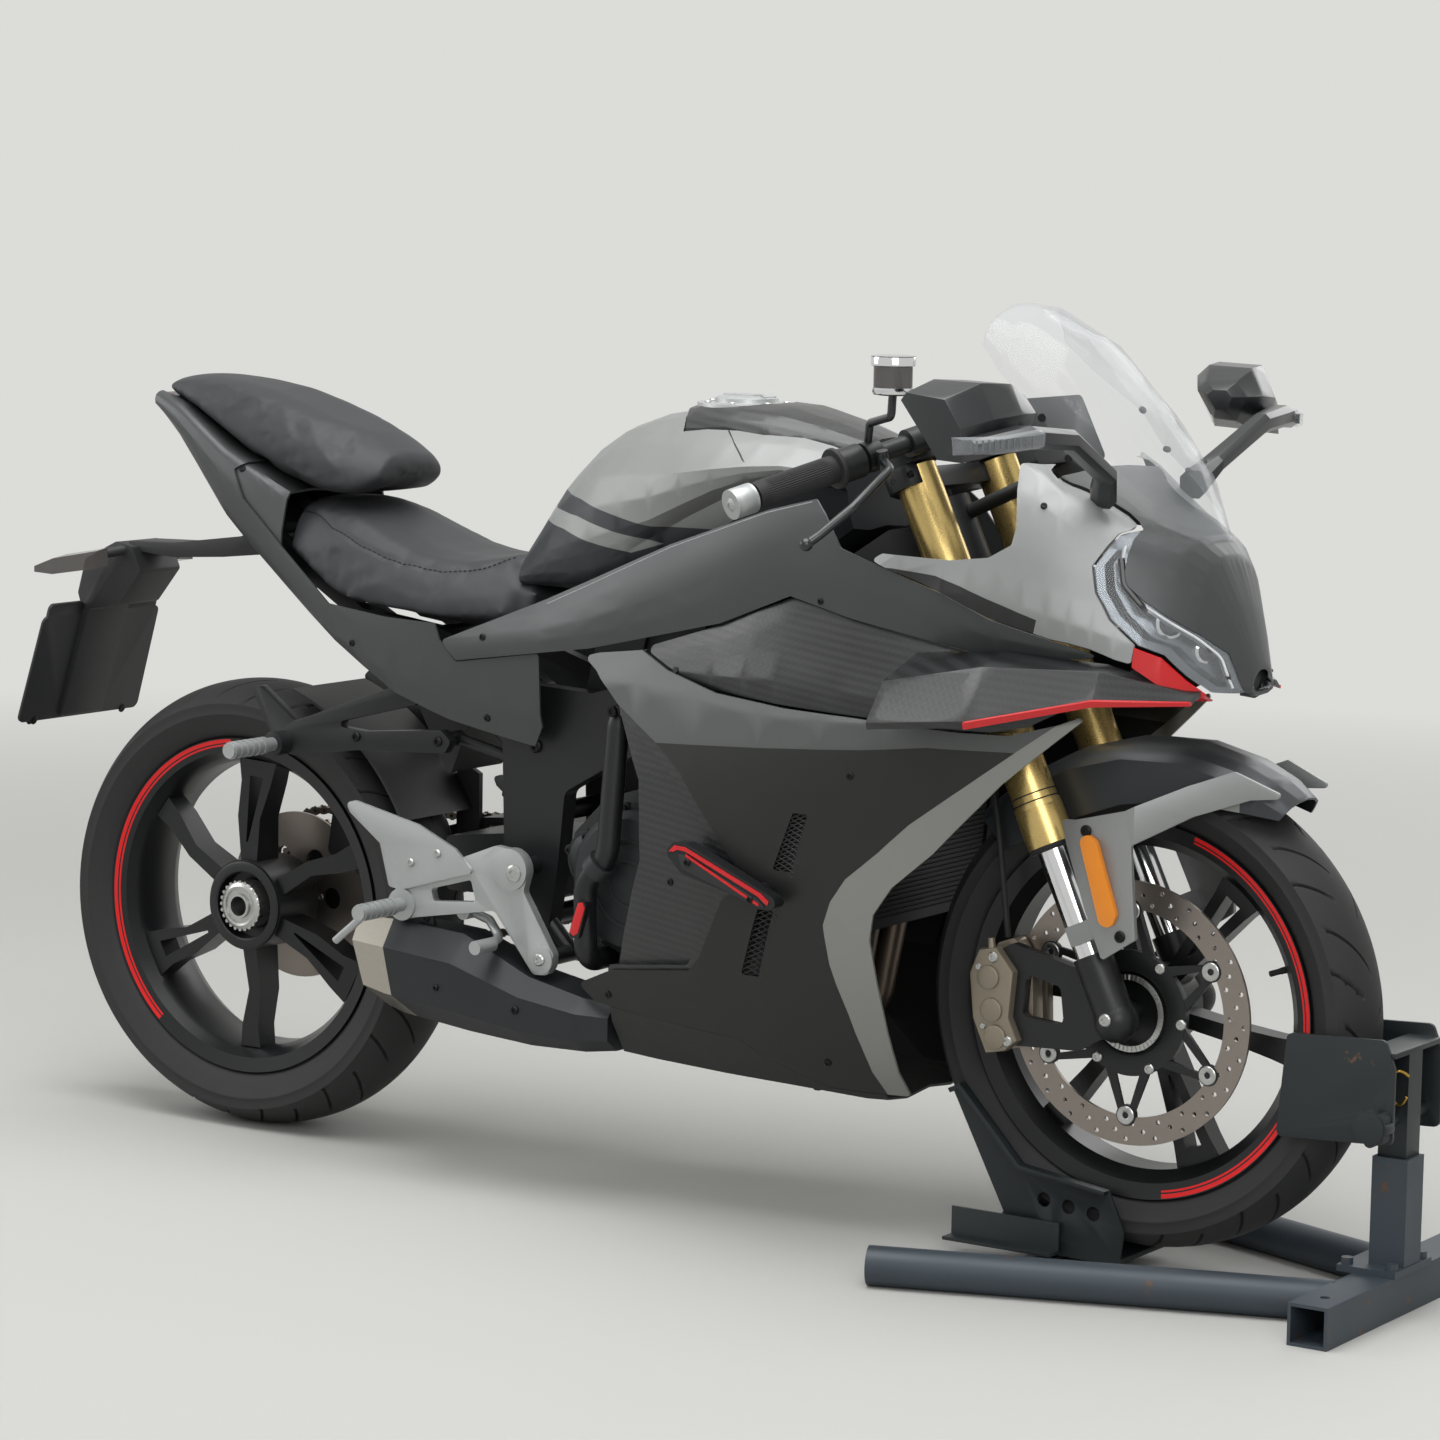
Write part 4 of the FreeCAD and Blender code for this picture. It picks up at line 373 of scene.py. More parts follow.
@dataclass(frozen=True)
class Zone:
    """A painted area bounded by curves over the side view; inside is where every test holds.

    Each test is (axis, side, points): along axis "x" or "z", the surface lies above (+1) or below (-1) the
    polyline that the points give against the other axis.
    """

    colour: str
    tests: tuple

    def mask(self, tree: bpy.types.NodeTree, where: bpy.types.NodeSocket) -> bpy.types.NodeSocket:
        """One inside the zone, zero outside.

        Args:
            tree: The material's node tree.
            where: The point on the object.

        Returns:
            The socket of the mask.
        """
        parts = add(tree, "SeparateXYZ", {0: where})
        total = None
        for axis, side, points in self.tests:
            other = "Z" if axis == "x" else "X"
            low, high = points[0][0], points[-1][0]
            least, most = min(p[1] for p in points), max(p[1] for p in points)
            along = add(tree, "MapRange", {"Value": parts.outputs[other], "From Min": low, "From Max": high})
            curve = add(tree, "FloatCurve", {"Value": along.outputs[0]})
            line = curve.mapping.curves[0]
            for index, (at, value) in enumerate(points):
                spot = ((at - low) / (high - low), (value - least) / max(most - least, 1e-6))
                if index == 0:
                    line.points[0].location = spot
                elif index == len(points) - 1:
                    line.points[-1].location = spot
                else:
                    line.points.new(*spot)
            for point in line.points:
                point.handle_type = "VECTOR"
            curve.mapping.update()
            edge = add(tree, "MapRange", {"Value": curve.outputs[0], "To Min": least, "To Max": most})
            first, second = (parts.outputs[axis.upper()], edge.outputs[0])[::side]
            test = add(tree, "Math", {0: first, 1: second}, operation="GREATER_THAN")
            total = test.outputs[0] if total is None else add(
                tree, "Math", {0: total, 1: test.outputs[0]}, operation="MULTIPLY").outputs[0]
        return total


@dataclass(frozen=True)
class CarbonTwill(Finish):
    """Two-by-two twill of carbon tows under clear lacquer. Tows of 2 mm are drawn 3.2 mm wide to show."""

    tow: float = 0.0032

    def paint(self, tree: bpy.types.NodeTree, base: bpy.types.Node) -> None:
        """Tows that cross over two and under two, so the weave steps along a diagonal.

        Args:
            tree: The material's node tree.
            base: The Principled node.
        """
        where = self.place(tree)
        turned = add(tree, "Mapping", {"Vector": where, "Rotation": (0.0, math.radians(38), 0.0),
                                       "Scale": (1 / self.tow,) * 3})
        parts = add(tree, "SeparateXYZ", {0: turned.outputs[0]})
        cells = [add(tree, "Math", {0: parts.outputs[n]}, operation="FLOOR").outputs[0] for n in (0, 2)]
        step = add(tree, "Math", {0: cells[0], 1: cells[1]}, operation="ADD")
        phase = add(tree, "Math", {0: step.outputs[0], 1: 4.0}, operation="FLOORED_MODULO")
        over = add(tree, "Math", {0: phase.outputs[0], 1: 1.5}, operation="GREATER_THAN")
        colour = add(tree, "Mix", {"Factor": over.outputs[0], 6: linear(self.colour), 7: linear("1b1d1f")},
                     data_type="RGBA")
        rough = add(tree, "MapRange", {"Value": over.outputs[0], "To Min": 0.40, "To Max": 0.48})
        waves = [add(tree, "Math", {0: add(tree, "Math", {0: parts.outputs[n], 1: math.pi},
                                           operation="MULTIPLY").outputs[0]}, operation="SINE").outputs[0]
                 for n in (0, 2)]
        swell = add(tree, "Mix", {"Factor": over.outputs[0], "A": waves[0], "B": waves[1]})
        height = add(tree, "Bump", {"Height": swell.outputs[0], "Strength": 0.08, "Distance": 0.0004})
        tree.links.new(colour.outputs[2], base.inputs["Base Color"])
        tree.links.new(rough.outputs[0], base.inputs["Roughness"])
        tree.links.new(height.outputs[0], base.inputs["Normal"])


@dataclass(frozen=True)
class Brushed(Finish):
    """Steel or alloy ground along one direction: fine streaks that stretch its highlights."""

    along: tuple = (1.0, 30.0, 30.0)

    def paint(self, tree: bpy.types.NodeTree, base: bpy.types.Node) -> None:
        """Streaks a third of a millimetre apart, stretched along the brushing.

        Args:
            tree: The material's node tree.
            base: The Principled node.
        """
        where = self.place(tree)
        long = add(tree, "Mapping", {"Vector": where, "Scale": self.along})
        streaks = add(tree, "TexNoise", {"Vector": long.outputs[0], "Scale": 100.0, "Detail": 4.0})
        rough = add(tree, "MapRange", {"Value": streaks.outputs["Fac"], "To Min": self.roughness * 0.7,
                                       "To Max": self.roughness * 1.3})
        height = add(tree, "Bump", {"Height": streaks.outputs["Fac"], "Strength": 0.05, "Distance": 0.0003})
        tree.links.new(rough.outputs[0], base.inputs["Roughness"])
        tree.links.new(height.outputs[0], base.inputs["Normal"])


@dataclass(frozen=True)
class Clear(Finish):
    """Polycarbonate or acrylic moulded clear, with a faint tint at its edges."""

    tint: float = 0.12

    def paint(self, tree: bpy.types.NodeTree, base: bpy.types.Node) -> None:
        """A thin clear sheet: mostly see-through, brighter where it is seen edge-on.

        Args:
            tree: The material's node tree.
            base: The Principled node.
        """
        facing = add(tree, "LayerWeight", {"Blend": 0.2})
        cover = add(tree, "MapRange", {"Value": facing.outputs["Facing"], "To Min": self.tint,
                                       "To Max": min(1.0, self.tint + 0.45)})
        tree.links.new(cover.outputs[0], base.inputs["Alpha"])
        base.inputs["IOR"].default_value = 1.58


@dataclass(frozen=True)
class RimPaint(Finish):
    """Black powder coat with a pair of thin red lines on part of the rim's edge."""

    centre: Vector = field(default_factory=Vector)
    arcs: tuple = ()
    bands: tuple = ((0.2225, 0.2275), (0.2182, 0.2206))

    def paint(self, tree: bpy.types.NodeTree, base: bpy.types.Node) -> None:
        """Lines drawn by their distance from the axle, between the stated angles.

        Args:
            tree: The material's node tree.
            base: The Principled node.
        """
        where = self.place(tree)
        moved = add(tree, "Mapping", {"Vector": where, "Location": tuple(-self.centre)})
        parts = add(tree, "SeparateXYZ", {0: moved.outputs[0]})
        out = [add(tree, "Math", {0: parts.outputs[n], 1: 2.0}, operation="POWER").outputs[0] for n in "XZ"]
        reach = add(tree, "Math", {0: add(tree, "Math", {0: out[0], 1: out[1]}).outputs[0]}, operation="SQRT")
        angle = add(tree, "Math", {0: parts.outputs["Z"], 1: parts.outputs["X"]}, operation="ARCTAN2")
        whole = add(tree, "Math", {0: angle.outputs[0], 1: math.tau}, operation="FLOORED_MODULO")
        total = 0.0
        for low, high in self.bands:
            for start, end in self.arcs:
                tests = [(reach.outputs[0], low, "GREATER_THAN"), (reach.outputs[0], high, "LESS_THAN"),
                         (whole.outputs[0], math.radians(start), "GREATER_THAN"),
                         (whole.outputs[0], math.radians(end), "LESS_THAN")]
                inside = 1.0
                for socket, limit, kind in tests:
                    test = add(tree, "Math", {0: socket, 1: limit}, operation=kind)
                    inside = add(tree, "Math", {0: test.outputs[0], 1: inside},
                                 operation="MULTIPLY").outputs[0]
                total = add(tree, "Math", {0: inside, 1: total}, operation="MAXIMUM").outputs[0]
        colour = add(tree, "Mix", {"Factor": total, 6: linear(self.colour), 7: linear("e0161a")},
                     data_type="RGBA")
        tree.links.new(colour.outputs[2], base.inputs["Base Color"])
        self.grain(tree, base, 700.0, 0.03, 0.05)


@dataclass(frozen=True)
class WornPaint(Finish):
    """Brushed-on paint over steel tube, rubbed through to rust in patches."""

    rust: float = 0.62

    def paint(self, tree: bpy.types.NodeTree, base: bpy.types.Node) -> None:
        """Rust where a coarse noise peaks, with scratches across it.

        Args:
            tree: The material's node tree.
            base: The Principled node.
        """
        where = self.place(tree)
        patches = add(tree, "TexNoise", {"Vector": where, "Scale": 22.0, "Detail": 9.0, "Roughness": 0.7})
        worn = add(tree, "MapRange", {"Value": patches.outputs["Fac"], "From Min": self.rust,
                                      "From Max": self.rust + 0.05})
        colour = add(tree, "Mix", {"Factor": worn.outputs[0], 6: linear(self.colour), 7: linear("5b4334")},
                     data_type="RGBA")
        tree.links.new(colour.outputs[2], base.inputs["Base Color"])
        self.grain(tree, base, 300.0, 0.12, 0.14)


FAIRING_ZONES = (
    Zone("2a2b2a", (("z", -1, ((0.06, 0.594), (0.095, 0.612), (0.26, 0.622), (0.403, 0.632),
                               (0.487, 0.641))),)),
    Zone("8b8c88", (("x", 1, ((0.192, 0.377), (0.242, 0.369), (0.299, 0.360), (0.363, 0.347), (0.413, 0.345),
                             (0.443, 0.357), (0.473, 0.379), (0.510, 0.424), (0.546, 0.463), (0.593, 0.527),
                             (0.676, 0.638))),)))
TANK_STRIPES_AND_GAP_SHADE = (
    # Dark stripe of the livery; from x 0.126 forward it rises along the tank's lower flank as painted shadow
    # of the gap to the side cover
    Zone("34363a", (("z", -1, ((-0.20, 0.912), (-0.085, 0.897), (-0.042, 0.887), (0.037, 0.871),
                              (0.126, 0.871), (0.225, 0.934), (0.30, 0.955))),)),
    Zone("8d908e", (("z", -1, ((-0.20, 0.887), (-0.085, 0.876), (-0.040, 0.866), (0.045, 0.849),
                               (0.10, 0.835))),
                    ("z", 1, ((-0.20, 0.869), (-0.11, 0.858), (-0.074, 0.849), (-0.002, 0.835),
                              (0.10, 0.815))),
                    ("x", -1, ((0.80, 0.02), (0.835, -0.002), (0.849, 0.045), (0.90, 0.08))))))
COWL_ZONES = (
    Zone("2d2e2e", (("z", -1, ((0.425, 0.848), (0.485, 0.843), (0.521, 0.833), (0.572, 0.815),
                               (0.620, 0.797))),
                    ("x", -1, ((0.75, 0.60), (0.80, 0.615), (0.85, 0.63))))),)
GUARD_ZONES = (Zone("8b8c88", (("x", 1, ((0.56, 0.755), (0.60, 0.80), (0.64, 0.86))),
                               ("x", -1, ((0.50, 0.82), (0.70, 0.82))))),)

# Metal flake under a satin clear coat: light and dark broad gradients, no mirror image
SILVER = SatinPaint("satin_silver_paint", "8f9191", 0.5, 0.45, 0.15)
# The tank's zones hold its stripes and a painted shadow along the front of its lower flank
TANK_SILVER = SatinPaint("satin_silver_tank_paint", "858786", 0.5, 0.45, 0.1, 0.1, TANK_STRIPES_AND_GAP_SHADE)
COWL_SILVER = SatinPaint("satin_silver_cowl_paint", "929494", 0.5, 0.45, 0.1, 0.1, COWL_ZONES)
GUNMETAL = SatinPaint("satin_gunmetal_paint", "47494a", 0.45, 0.55, 0.12)
FAIRING_PAINT = SatinPaint("satin_gunmetal_side_paint", "565858", 0.45, 0.55, 0.12, 0.1, FAIRING_ZONES)
GUARD_PAINT = SatinPaint("satin_two_tone_guard_paint", "3b3e41", 0.42, 0.55, 0.12, 0.1, GUARD_ZONES)
NEAR_BLACK = SatinPaint("matt_near_black_paint", "2a2b2a", 0.5, 0.35, 0.0, 0.05)
# Moulded plastics and coatings: fine grain, broad dull highlights
BLACK_PLASTIC = Finish("moulded_black_abs", "1b1c1d", 0.55)
SMOOTH_BLACK = Finish("gloss_black_abs", "1d1f21", 0.3, 0.0, 0.2)
CARBON = CarbonTwill("lacquered_carbon_twill", "0d0e10", 0.4, 0.0, 0.35)
RED_GLOSS = Finish("red_gloss_enamel", "c90f16", 0.32, 0.0, 0.25)
FRAME_BLACK = Finish("satin_black_powder_coat", "18191b", 0.42, 0.2)
MUFFLER_BLACK = Finish("heat_proof_satin_black", "1d1f22", 0.48, 0.2)
CAST_DARK = Finish("dark_cast_alloy", "1f2022", 0.52, 0.4)
COVER_GREY = Finish("powder_coated_engine_cover", "2b2d2f", 0.5, 0.35)
# Bare and plated metals: brushing or blasting spreads their highlights
ALLOY = Brushed("bead_blasted_alloy", "a9acac", 0.48, 0.7, 0.0, (1.0, 1.0, 1.0))
STEEL = Brushed("ground_disc_steel", "8f8780", 0.36, 0.9)
BOLT_STEEL = Brushed("zinc_plated_steel", "b4b5b3", 0.3, 0.95, 0.0, (1.0, 1.0, 1.0))
BLACK_BOLT = Finish("black_oxide_steel", "121314", 0.38, 0.6)
STAINLESS = Brushed("brushed_stainless", "aba69c", 0.3, 0.95, 0.0, (30.0, 30.0, 1.0))
HEADER = Brushed("heat_stained_steel", "6d6258", 0.38, 0.9)
CHAIN_STEEL = Finish("oiled_chain_steel", "6a655d", 0.4, 0.85)
GOLD = Brushed("gold_anodised_tube", "d3b877", 0.28, 0.85, 0.0, (30.0, 30.0, 2.0))
CHROME = Brushed("hard_chrome", "dfe0e2", 0.1, 1.0, 0.0, (30.0, 30.0, 2.0))
LAMP_CHROME = Finish("metallised_reflector", "686d72", 0.24, 0.9)
CLIP_BRASS = Finish("brass_plated_clip", "b08c3c", 0.3, 0.9)
# Rubbers and covers: dull, with a fine grain
RUBBER = Finish("ribbed_rubber", "1a1a1b", 0.7)
SEAT_VINYL = Finish("grained_seat_vinyl", "26272a", 0.58)
STITCH = Finish("twisted_polyester_thread", "0d0d0e", 0.8)
# Clear and tinted plastics: smooth, bright where the light strikes
CLEAR_SCREEN = Clear("clear_polycarbonate", "aab0b4", 0.08, 0.0, 0.0, 0.05)
CLEAR_LENS = Clear("clear_lens_acrylic", "c9ced2", 0.06, 0.0, 0.0, 0.10)
MILKY_LENS = Finish("diffusing_lamp_acrylic", "e4e7ea", 0.25, 0.0, 0.3)
SMOKED_LENS = Finish("smoked_lamp_acrylic", "4a2b2a", 0.15, 0.0, 0.4)
SMOKED_CUP = Clear("smoked_fluid_cup", "3a3432", 0.1, 0.0, 0.0, 0.72)
SCREEN_GLASS = Finish("dark_display_glass", "0c0e11", 0.12, 0.0, 0.5)
AMBER = Finish("amber_reflector", "e9890f", 0.25, 0.0, 0.35)
# Anodised and painted metals: soft highlights, and wear on the stand
CALIPER = Finish("bronze_anodised_alloy", "8a8172", 0.42, 0.6)
STAND_PAINT = WornPaint("worn_blue_grey_paint", "3a434b", 0.5, 0.2)
CRADLE_PAINT = WornPaint("worn_green_black_paint", "1f2527", 0.48, 0.2, 0.0, 0.66)
# Tyre rubber, dull, with shade painted darker into its grooves, and coated rims with red lines
# Colour of the groove floors, darker than the tyre: painted shade in the recesses
GROOVE_PAINTED_SHADE = Finish("groove_rubber_painted_shade", "0f0f10", 0.8)
REAR_RUBBER = Finish("rear_tyre_rubber", "202021", 0.7)
FRONT_RUBBER = Finish("front_tyre_rubber", "202021", 0.7)
REAR_RIM_PAINT = RimPaint("rear_rim_powder_coat", "151618", 0.36, 0.25, 0.0, REAR_AXLE, ((95, 230),))
FRONT_RIM_PAINT = RimPaint("front_rim_powder_coat", "151618", 0.36, 0.25, 0.0, FRONT_AXLE,
                           ((0, 72), (280, 330)))


def finish_edges(piece: bpy.types.Object, edge: Edge, width: float = 0.0008) -> None:
    """Smooth a piece that came from the drawing, with modifiers only.

    Args:
        piece: The object, whose triangles are loose.
        edge: Whether sharp edges get a small break.
        width: The break's width, in metres.
    """
    for face in piece.data.polygons:
        face.use_smooth = True
    weld = piece.modifiers.new("weld", "WELD")
    weld.merge_threshold = 0.00002
    if edge is not Edge.SOFT:
        flat = piece.modifiers.new("flat", "DECIMATE")
        flat.decimate_type = "DISSOLVE"
        flat.angle_limit = math.radians(0.5)
        flat.delimit = {"MATERIAL"}
        rounded = piece.modifiers.new("edges", "BEVEL")
        rounded.width = width if edge is Edge.BROKEN else 0.003
        rounded.segments = 2 if edge is Edge.BROKEN else 3
        rounded.limit_method = "ANGLE"
        rounded.angle_limit = math.radians(40 if edge is Edge.BROKEN else 18)
        rounded.harden_normals = False
    split = piece.modifiers.new("split", "EDGE_SPLIT")
    split.split_angle = math.radians(32)


@dataclass
class Group:
    """A sub-assembly: the drawn pieces it holds with their finishes, and the pieces added to them."""

    frame: dict
    finishes: dict[str, tuple[Finish, Edge]] = field(default_factory=dict)
    skins: dict = field(default_factory=dict)

    def dress(self) -> None:
        """Give each drawn piece of the sub-assembly its finish and edges."""
        for node, (finish, edge) in self.finishes.items():
            piece = self.frame["nodes"][node]
            piece.data.materials.clear()
            piece.data.materials.append(finish.make())
            finish_edges(piece, edge)
        LOG.info("%s: %d drawn pieces dressed", type(self).__name__, len(self.finishes))

    def repaint(self, node: str, finish: Finish, inside: Callable[[Vector], bool]) -> None:
        """Give part of a drawn piece another finish.

        Args:
            node: The drawn piece.
            finish: The finish of the faces chosen.
            inside: Tells whether a face with that middle is chosen.
        """
        data = self.frame["nodes"][node].data
        data.materials.append(finish.make())
        for face in data.polygons:
            if inside(face.center):
                face.material_index = len(data.materials) - 1

    def add_piece(self, name: str, mesh: Mesh, body: str, finish: Finish, slot: str,
                  smooth: float = 35.0) -> bpy.types.Object:
        """Make a finished object of a bmesh and let it ride on a body.

        Args:
            name: The piece's name.
            mesh: Its mesh, in the frame's metres; it is freed.
            body: The body that carries it.
            finish: Its finish.
            slot: The record's material slot; not used.
            smooth: Edges that turn less than this many degrees are smooth.

        Returns:
            The object.
        """
        bmesh.ops.remove_doubles(mesh, verts=mesh.verts, dist=0.000002)
        bmesh.ops.recalc_face_normals(mesh, faces=mesh.faces)
        data = bpy.data.meshes.new(name)
        for face in mesh.faces:
            face.smooth = True
        for edge in mesh.edges:
            edge.smooth = len(edge.link_faces) == 2 and edge.calc_face_angle(0.0) < math.radians(smooth)
        mesh.to_mesh(data)
        mesh.free()
        piece = bpy.data.objects.new(name, data)
        bpy.context.scene.collection.objects.link(piece)
        data.materials.append(finish.make())
        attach(piece, body)
        LOG.info("%s: %d faces", name, len(data.polygons))
        return piece

    def touch(self, node: str, start: Vector, way: Vector) -> tuple[Vector, Vector]:
        """The first point of a drawn piece along a ray, or its nearest where the ray passes it.

        Args:
            node: The drawn piece.
            start: Where the ray starts, in metres.
            way: The way it runs.

        Returns:
            The point, and the way the surface faces there, towards the start.
        """
        if node not in self.skins:
            data = self.frame["nodes"][node].data
            self.skins[node] = BVHTree.FromPolygons([v.co for v in data.vertices],
                                                    [tuple(face.vertices) for face in data.polygons])
        spot, facing, _, _ = self.skins[node].ray_cast(start, way.normalized())
        if spot is None:
            spot, facing, _, _ = self.skins[node].find_nearest(start + way.normalized() * start.length)
        return spot, facing if facing.dot(way) < 0 else -facing

    def beside(self, node: str, side: int, x: float, z: float) -> tuple[Vector, Vector]:
        """Where a drawn piece is met from one side at a place of the side view, in millimetres."""
        return self.touch(node, work(x, side * 600, z), Vector((0, -side, 0)))

    def inlay(self, node: str, side: int, places: tuple, radius: float, sink: float = 0.0) -> Mesh:
        """A thin round line laid along a drawn piece through places of the side view.

        Args:
            node: The drawn piece.
            side: +1 for the left and -1 for the right.
            places: Side view places in millimetres.
            radius: The line's radius in millimetres.
            sink: How far its middle lies under the surface, in millimetres.

        Returns:
            The line's mesh.
        """
        points = []
        for (ax, az), (bx, bz) in zip(places, places[1:]):
            parts = max(1, round(math.hypot(bx - ax, bz - az) / 12))
            points += [(ax + (bx - ax) * i / parts, az + (bz - az) * i / parts) for i in range(parts)]
        line = []
        for x, z in points + [places[-1]]:
            spot, facing = self.beside(node, side, x, z)
            line.append(spot - facing * (sink / 1000))
        return drawn(line, radius)

    def boolean(self, piece: bpy.types.Object, cutter: Mesh) -> None:
        """Cut a mesh out of a piece for good.

        Args:
            piece: The piece that is cut.
            cutter: The mesh taken away from it, which is freed.
        """
        data = bpy.data.meshes.new("cutter")
        cutter.to_mesh(data)
        cutter.free()
        tool = bpy.data.objects.new("cutter", data)
        bpy.context.scene.collection.objects.link(tool)
        cut = piece.modifiers.new("holes", "BOOLEAN")
        cut.operation = "DIFFERENCE"
        cut.solver = "EXACT"
        cut.object = tool
        self.apply(piece)
        bpy.data.objects.remove(tool)

    def apply(self, piece: bpy.types.Object) -> None:
        """Turn a piece's modifiers into its mesh."""
        shown = piece.evaluated_get(bpy.context.evaluated_depsgraph_get())
        done = bpy.data.meshes.new_from_object(shown)
        piece.modifiers.clear()
        piece.data = done


@dataclass(frozen=True)
class TyreShape:
    """A road tyre's sizes in millimetres."""

    name: str
    body: str
    centre: Vector
    radius: float
    half: float
    bead: float
    finish: Finish
    grooves: int


@dataclass
class Wheels(Group):
    """Tyres, rims, discs, hub details and the drive chain."""

    finishes: dict[str, tuple[Finish, Edge]] = field(default_factory=lambda: {
        "front_rim": (FRONT_RIM_PAINT, Edge.SOFT), "rear_rim": (REAR_RIM_PAINT, Edge.SOFT),
        "rear_disc": (STEEL, Edge.SOFT), "rear_spindle": (BOLT_STEEL, Edge.SOFT)})
    tyres: tuple = (TyreShape("front_tyre", "front_wheel", FRONT_AXLE, 293.0, 56.0, 34.7, FRONT_RUBBER, 15),
                    TyreShape("rear_tyre", "rear_wheel", REAR_AXLE, 306.0, 75.0, 50.7, REAR_RUBBER, 15))
    groove_depth: float = 4.5
    columns: int = 36
    sweep: float = 85.0
    disc_radius: float = 160.0
    disc_inner: float = 126.0
    disc_side: float = -62.0
    chain_side: float = 136.0
    chain_pitch: float = 15.875
    rear_loop: float = 109.5
    front_loop: float = 41.5

    def build(self) -> None:
        """Make the grooved tyres, the drilled disc, the chain and the hubs' small parts."""
        for shape in self.tyres:
            self.tyre(shape)
        self.front_disc()
        self.chain()
        self.hubs()

    def tyre(self, shape: TyreShape) -> None:
        """Turn a tyre with a round crown and press its curved grooves in from both shoulders.

        Args:
            shape: Its sizes.
        """
        low = 216.3 + 0.68 * (shape.radius - 216.0)
        crown = [(shape.radius - (shape.radius - low) * (i / 15) ** 2.2, shape.half * i / 15)
                 for i in range(16)]
        wall = [(low - 5, shape.half - 0.1), (low - 12, shape.half - 1.2), (low - 13.5, shape.half - 0.6),
                (low - 15, shape.half - 0.7), (low - 17, shape.half - 2.4), (243, shape.half - 7),
                (236, shape.bead + 9.5), (231.5, shape.bead + 6), (230.6, shape.bead + 2),
                (230.5, shape.bead),
                (216.4, shape.bead)]
        half = crown + wall
        columns = shape.grooves * self.columns
        mesh = bmesh.new()
        spun(mesh, [(r, -y) for r, y in reversed(half)] + [(r, y) for r, y in half[1:]], shape.centre,
             steps=columns)
        sunk = set()
        for vert in mesh.verts:
            away = vert.co - shape.centre
            across, reach = abs(away.y) * 1000, math.hypot(away.x, away.z) * 1000
            share = min(1.0, across / shape.half) if reach > low else 1.0
            column = round(math.atan2(away.z, away.x) / math.tau * columns)
            place = (column + (self.columns // 2 if away.y < 0 else 0)) % self.columns
            turn = column + self.sweep * share ** 0.75 / (math.tau * shape.radius) * columns
            for first, begin, end in ((0, 0.12, 0.84), (self.columns // 2, 0.46, 0.97)):
                if not begin < share < end or reach < low - 3:
                    continue
                if (place - first) % self.columns == self.columns - 1:
                    turn += 0.6
                elif (place - first) % self.columns == 2:
                    turn -= 0.6
                elif (place - first) % self.columns < 2:
                    reach -= self.groove_depth
                    sunk.add(vert)
            turn *= math.tau / columns
            vert.co = shape.centre + Vector((math.cos(turn) * reach / 1000, away.y,
                                             math.sin(turn) * reach / 1000))
        # Faces wholly inside a groove take the darker colour: painted shade in the grooves
        for face in mesh.faces:
            face.material_index = int(all(vert in sunk for vert in face.verts))
        piece = self.add_piece(shape.name + "_grooved", mesh, shape.body, shape.finish, "tyre", 40.0)
        piece.data.materials.append(GROOVE_PAINTED_SHADE.make())
        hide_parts(shape.name)

    def front_disc(self) -> None:
        """Drilled steel band on a black star carrier, with silver bobbins and screws."""
        side, axle = self.disc_side, FRONT_AXLE
        band = bmesh.new()
        spun(band, [(self.disc_radius, side - 2.2), (self.disc_radius, side + 2.2),
                    (self.disc_inner, side + 2.2), (self.disc_inner, side - 2.2)], axle, steps=144)
        piece = self.add_piece("front_disc_band", band, "front_wheel", STEEL, "disc_steel")
        holes = bmesh.new()
        for row, (reach, shift) in enumerate(((152.5, 0.0), (143.5, 0.5), (134.5, 0.0))):
            for i in range(24):
                turn = math.tau * (i + shift + 0.12 * row) / 24
                place = axle + Vector((math.cos(turn) * reach / 1000, side / 1000,
                                       math.sin(turn) * reach / 1000))
                rod(holes, place - SIDEWAYS * 0.006, place + SIDEWAYS * 0.006, 2.9, sides=12)
        self.boolean(piece, holes)
        carrier, bright = bmesh.new(), bmesh.new()
        spun(carrier, [(76, side - 3), (76, side + 6), (73, side + 12), (52, side + 12), (50, side + 8),
                       (50, side - 1), (53, side - 3)], axle, steps=72)
        for i in range(6):
            turn = math.radians(30 + 60 * i)
            out, round_ = radial(turn), Vector((-math.sin(turn), 0, math.cos(turn)))
            for lean in SIDES:
                foot = axle + out * 0.068 + round_ * (0.024 * lean) + SIDEWAYS * ((side - 2.5) / 1000)
                head = axle + out * 0.122 + round_ * (0.006 * lean) + SIDEWAYS * ((side - 2.5) / 1000)
                slab(carrier, [foot - round_ * 0.006, foot + round_ * 0.006, head + round_ * 0.004,
                               head - round_ * 0.004], SIDEWAYS * 0.005)
            middle = axle + out * 0.124
            rod(carrier, middle + SIDEWAYS * ((side - 3) / 1000), middle + SIDEWAYS * ((side + 3) / 1000), 13,
                sides=28)
            spun(bright, [(10.5, side - 5.4), (11.5, side - 4.6), (11.5, side - 2.9), (4.0, side - 2.9),
                          (4.0, side - 4.4), (6.0, side - 5.4)], middle, steps=28)
            screw(bright, axle + out * 0.064 + SIDEWAYS * ((side - 3) / 1000) + round_ * 0.030,
                  -SIDEWAYS, 6.5, 3.2)
        self.add_piece("front_disc_carrier", carrier, "front_wheel", FRAME_BLACK, "black_alloy")
        self.add_piece("front_disc_bobbins", bright, "front_wheel", BOLT_STEEL, "silver_alloy")
        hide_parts("front_disc")
        sensor = bmesh.new()
        spun(sensor, [(47, side - 4.2), (47, side - 3.0), (40, side - 3.0), (40, side - 4.2)], axle, steps=96)
        for i in range(48):
            turn = math.tau * i / 48
            out = radial(turn)
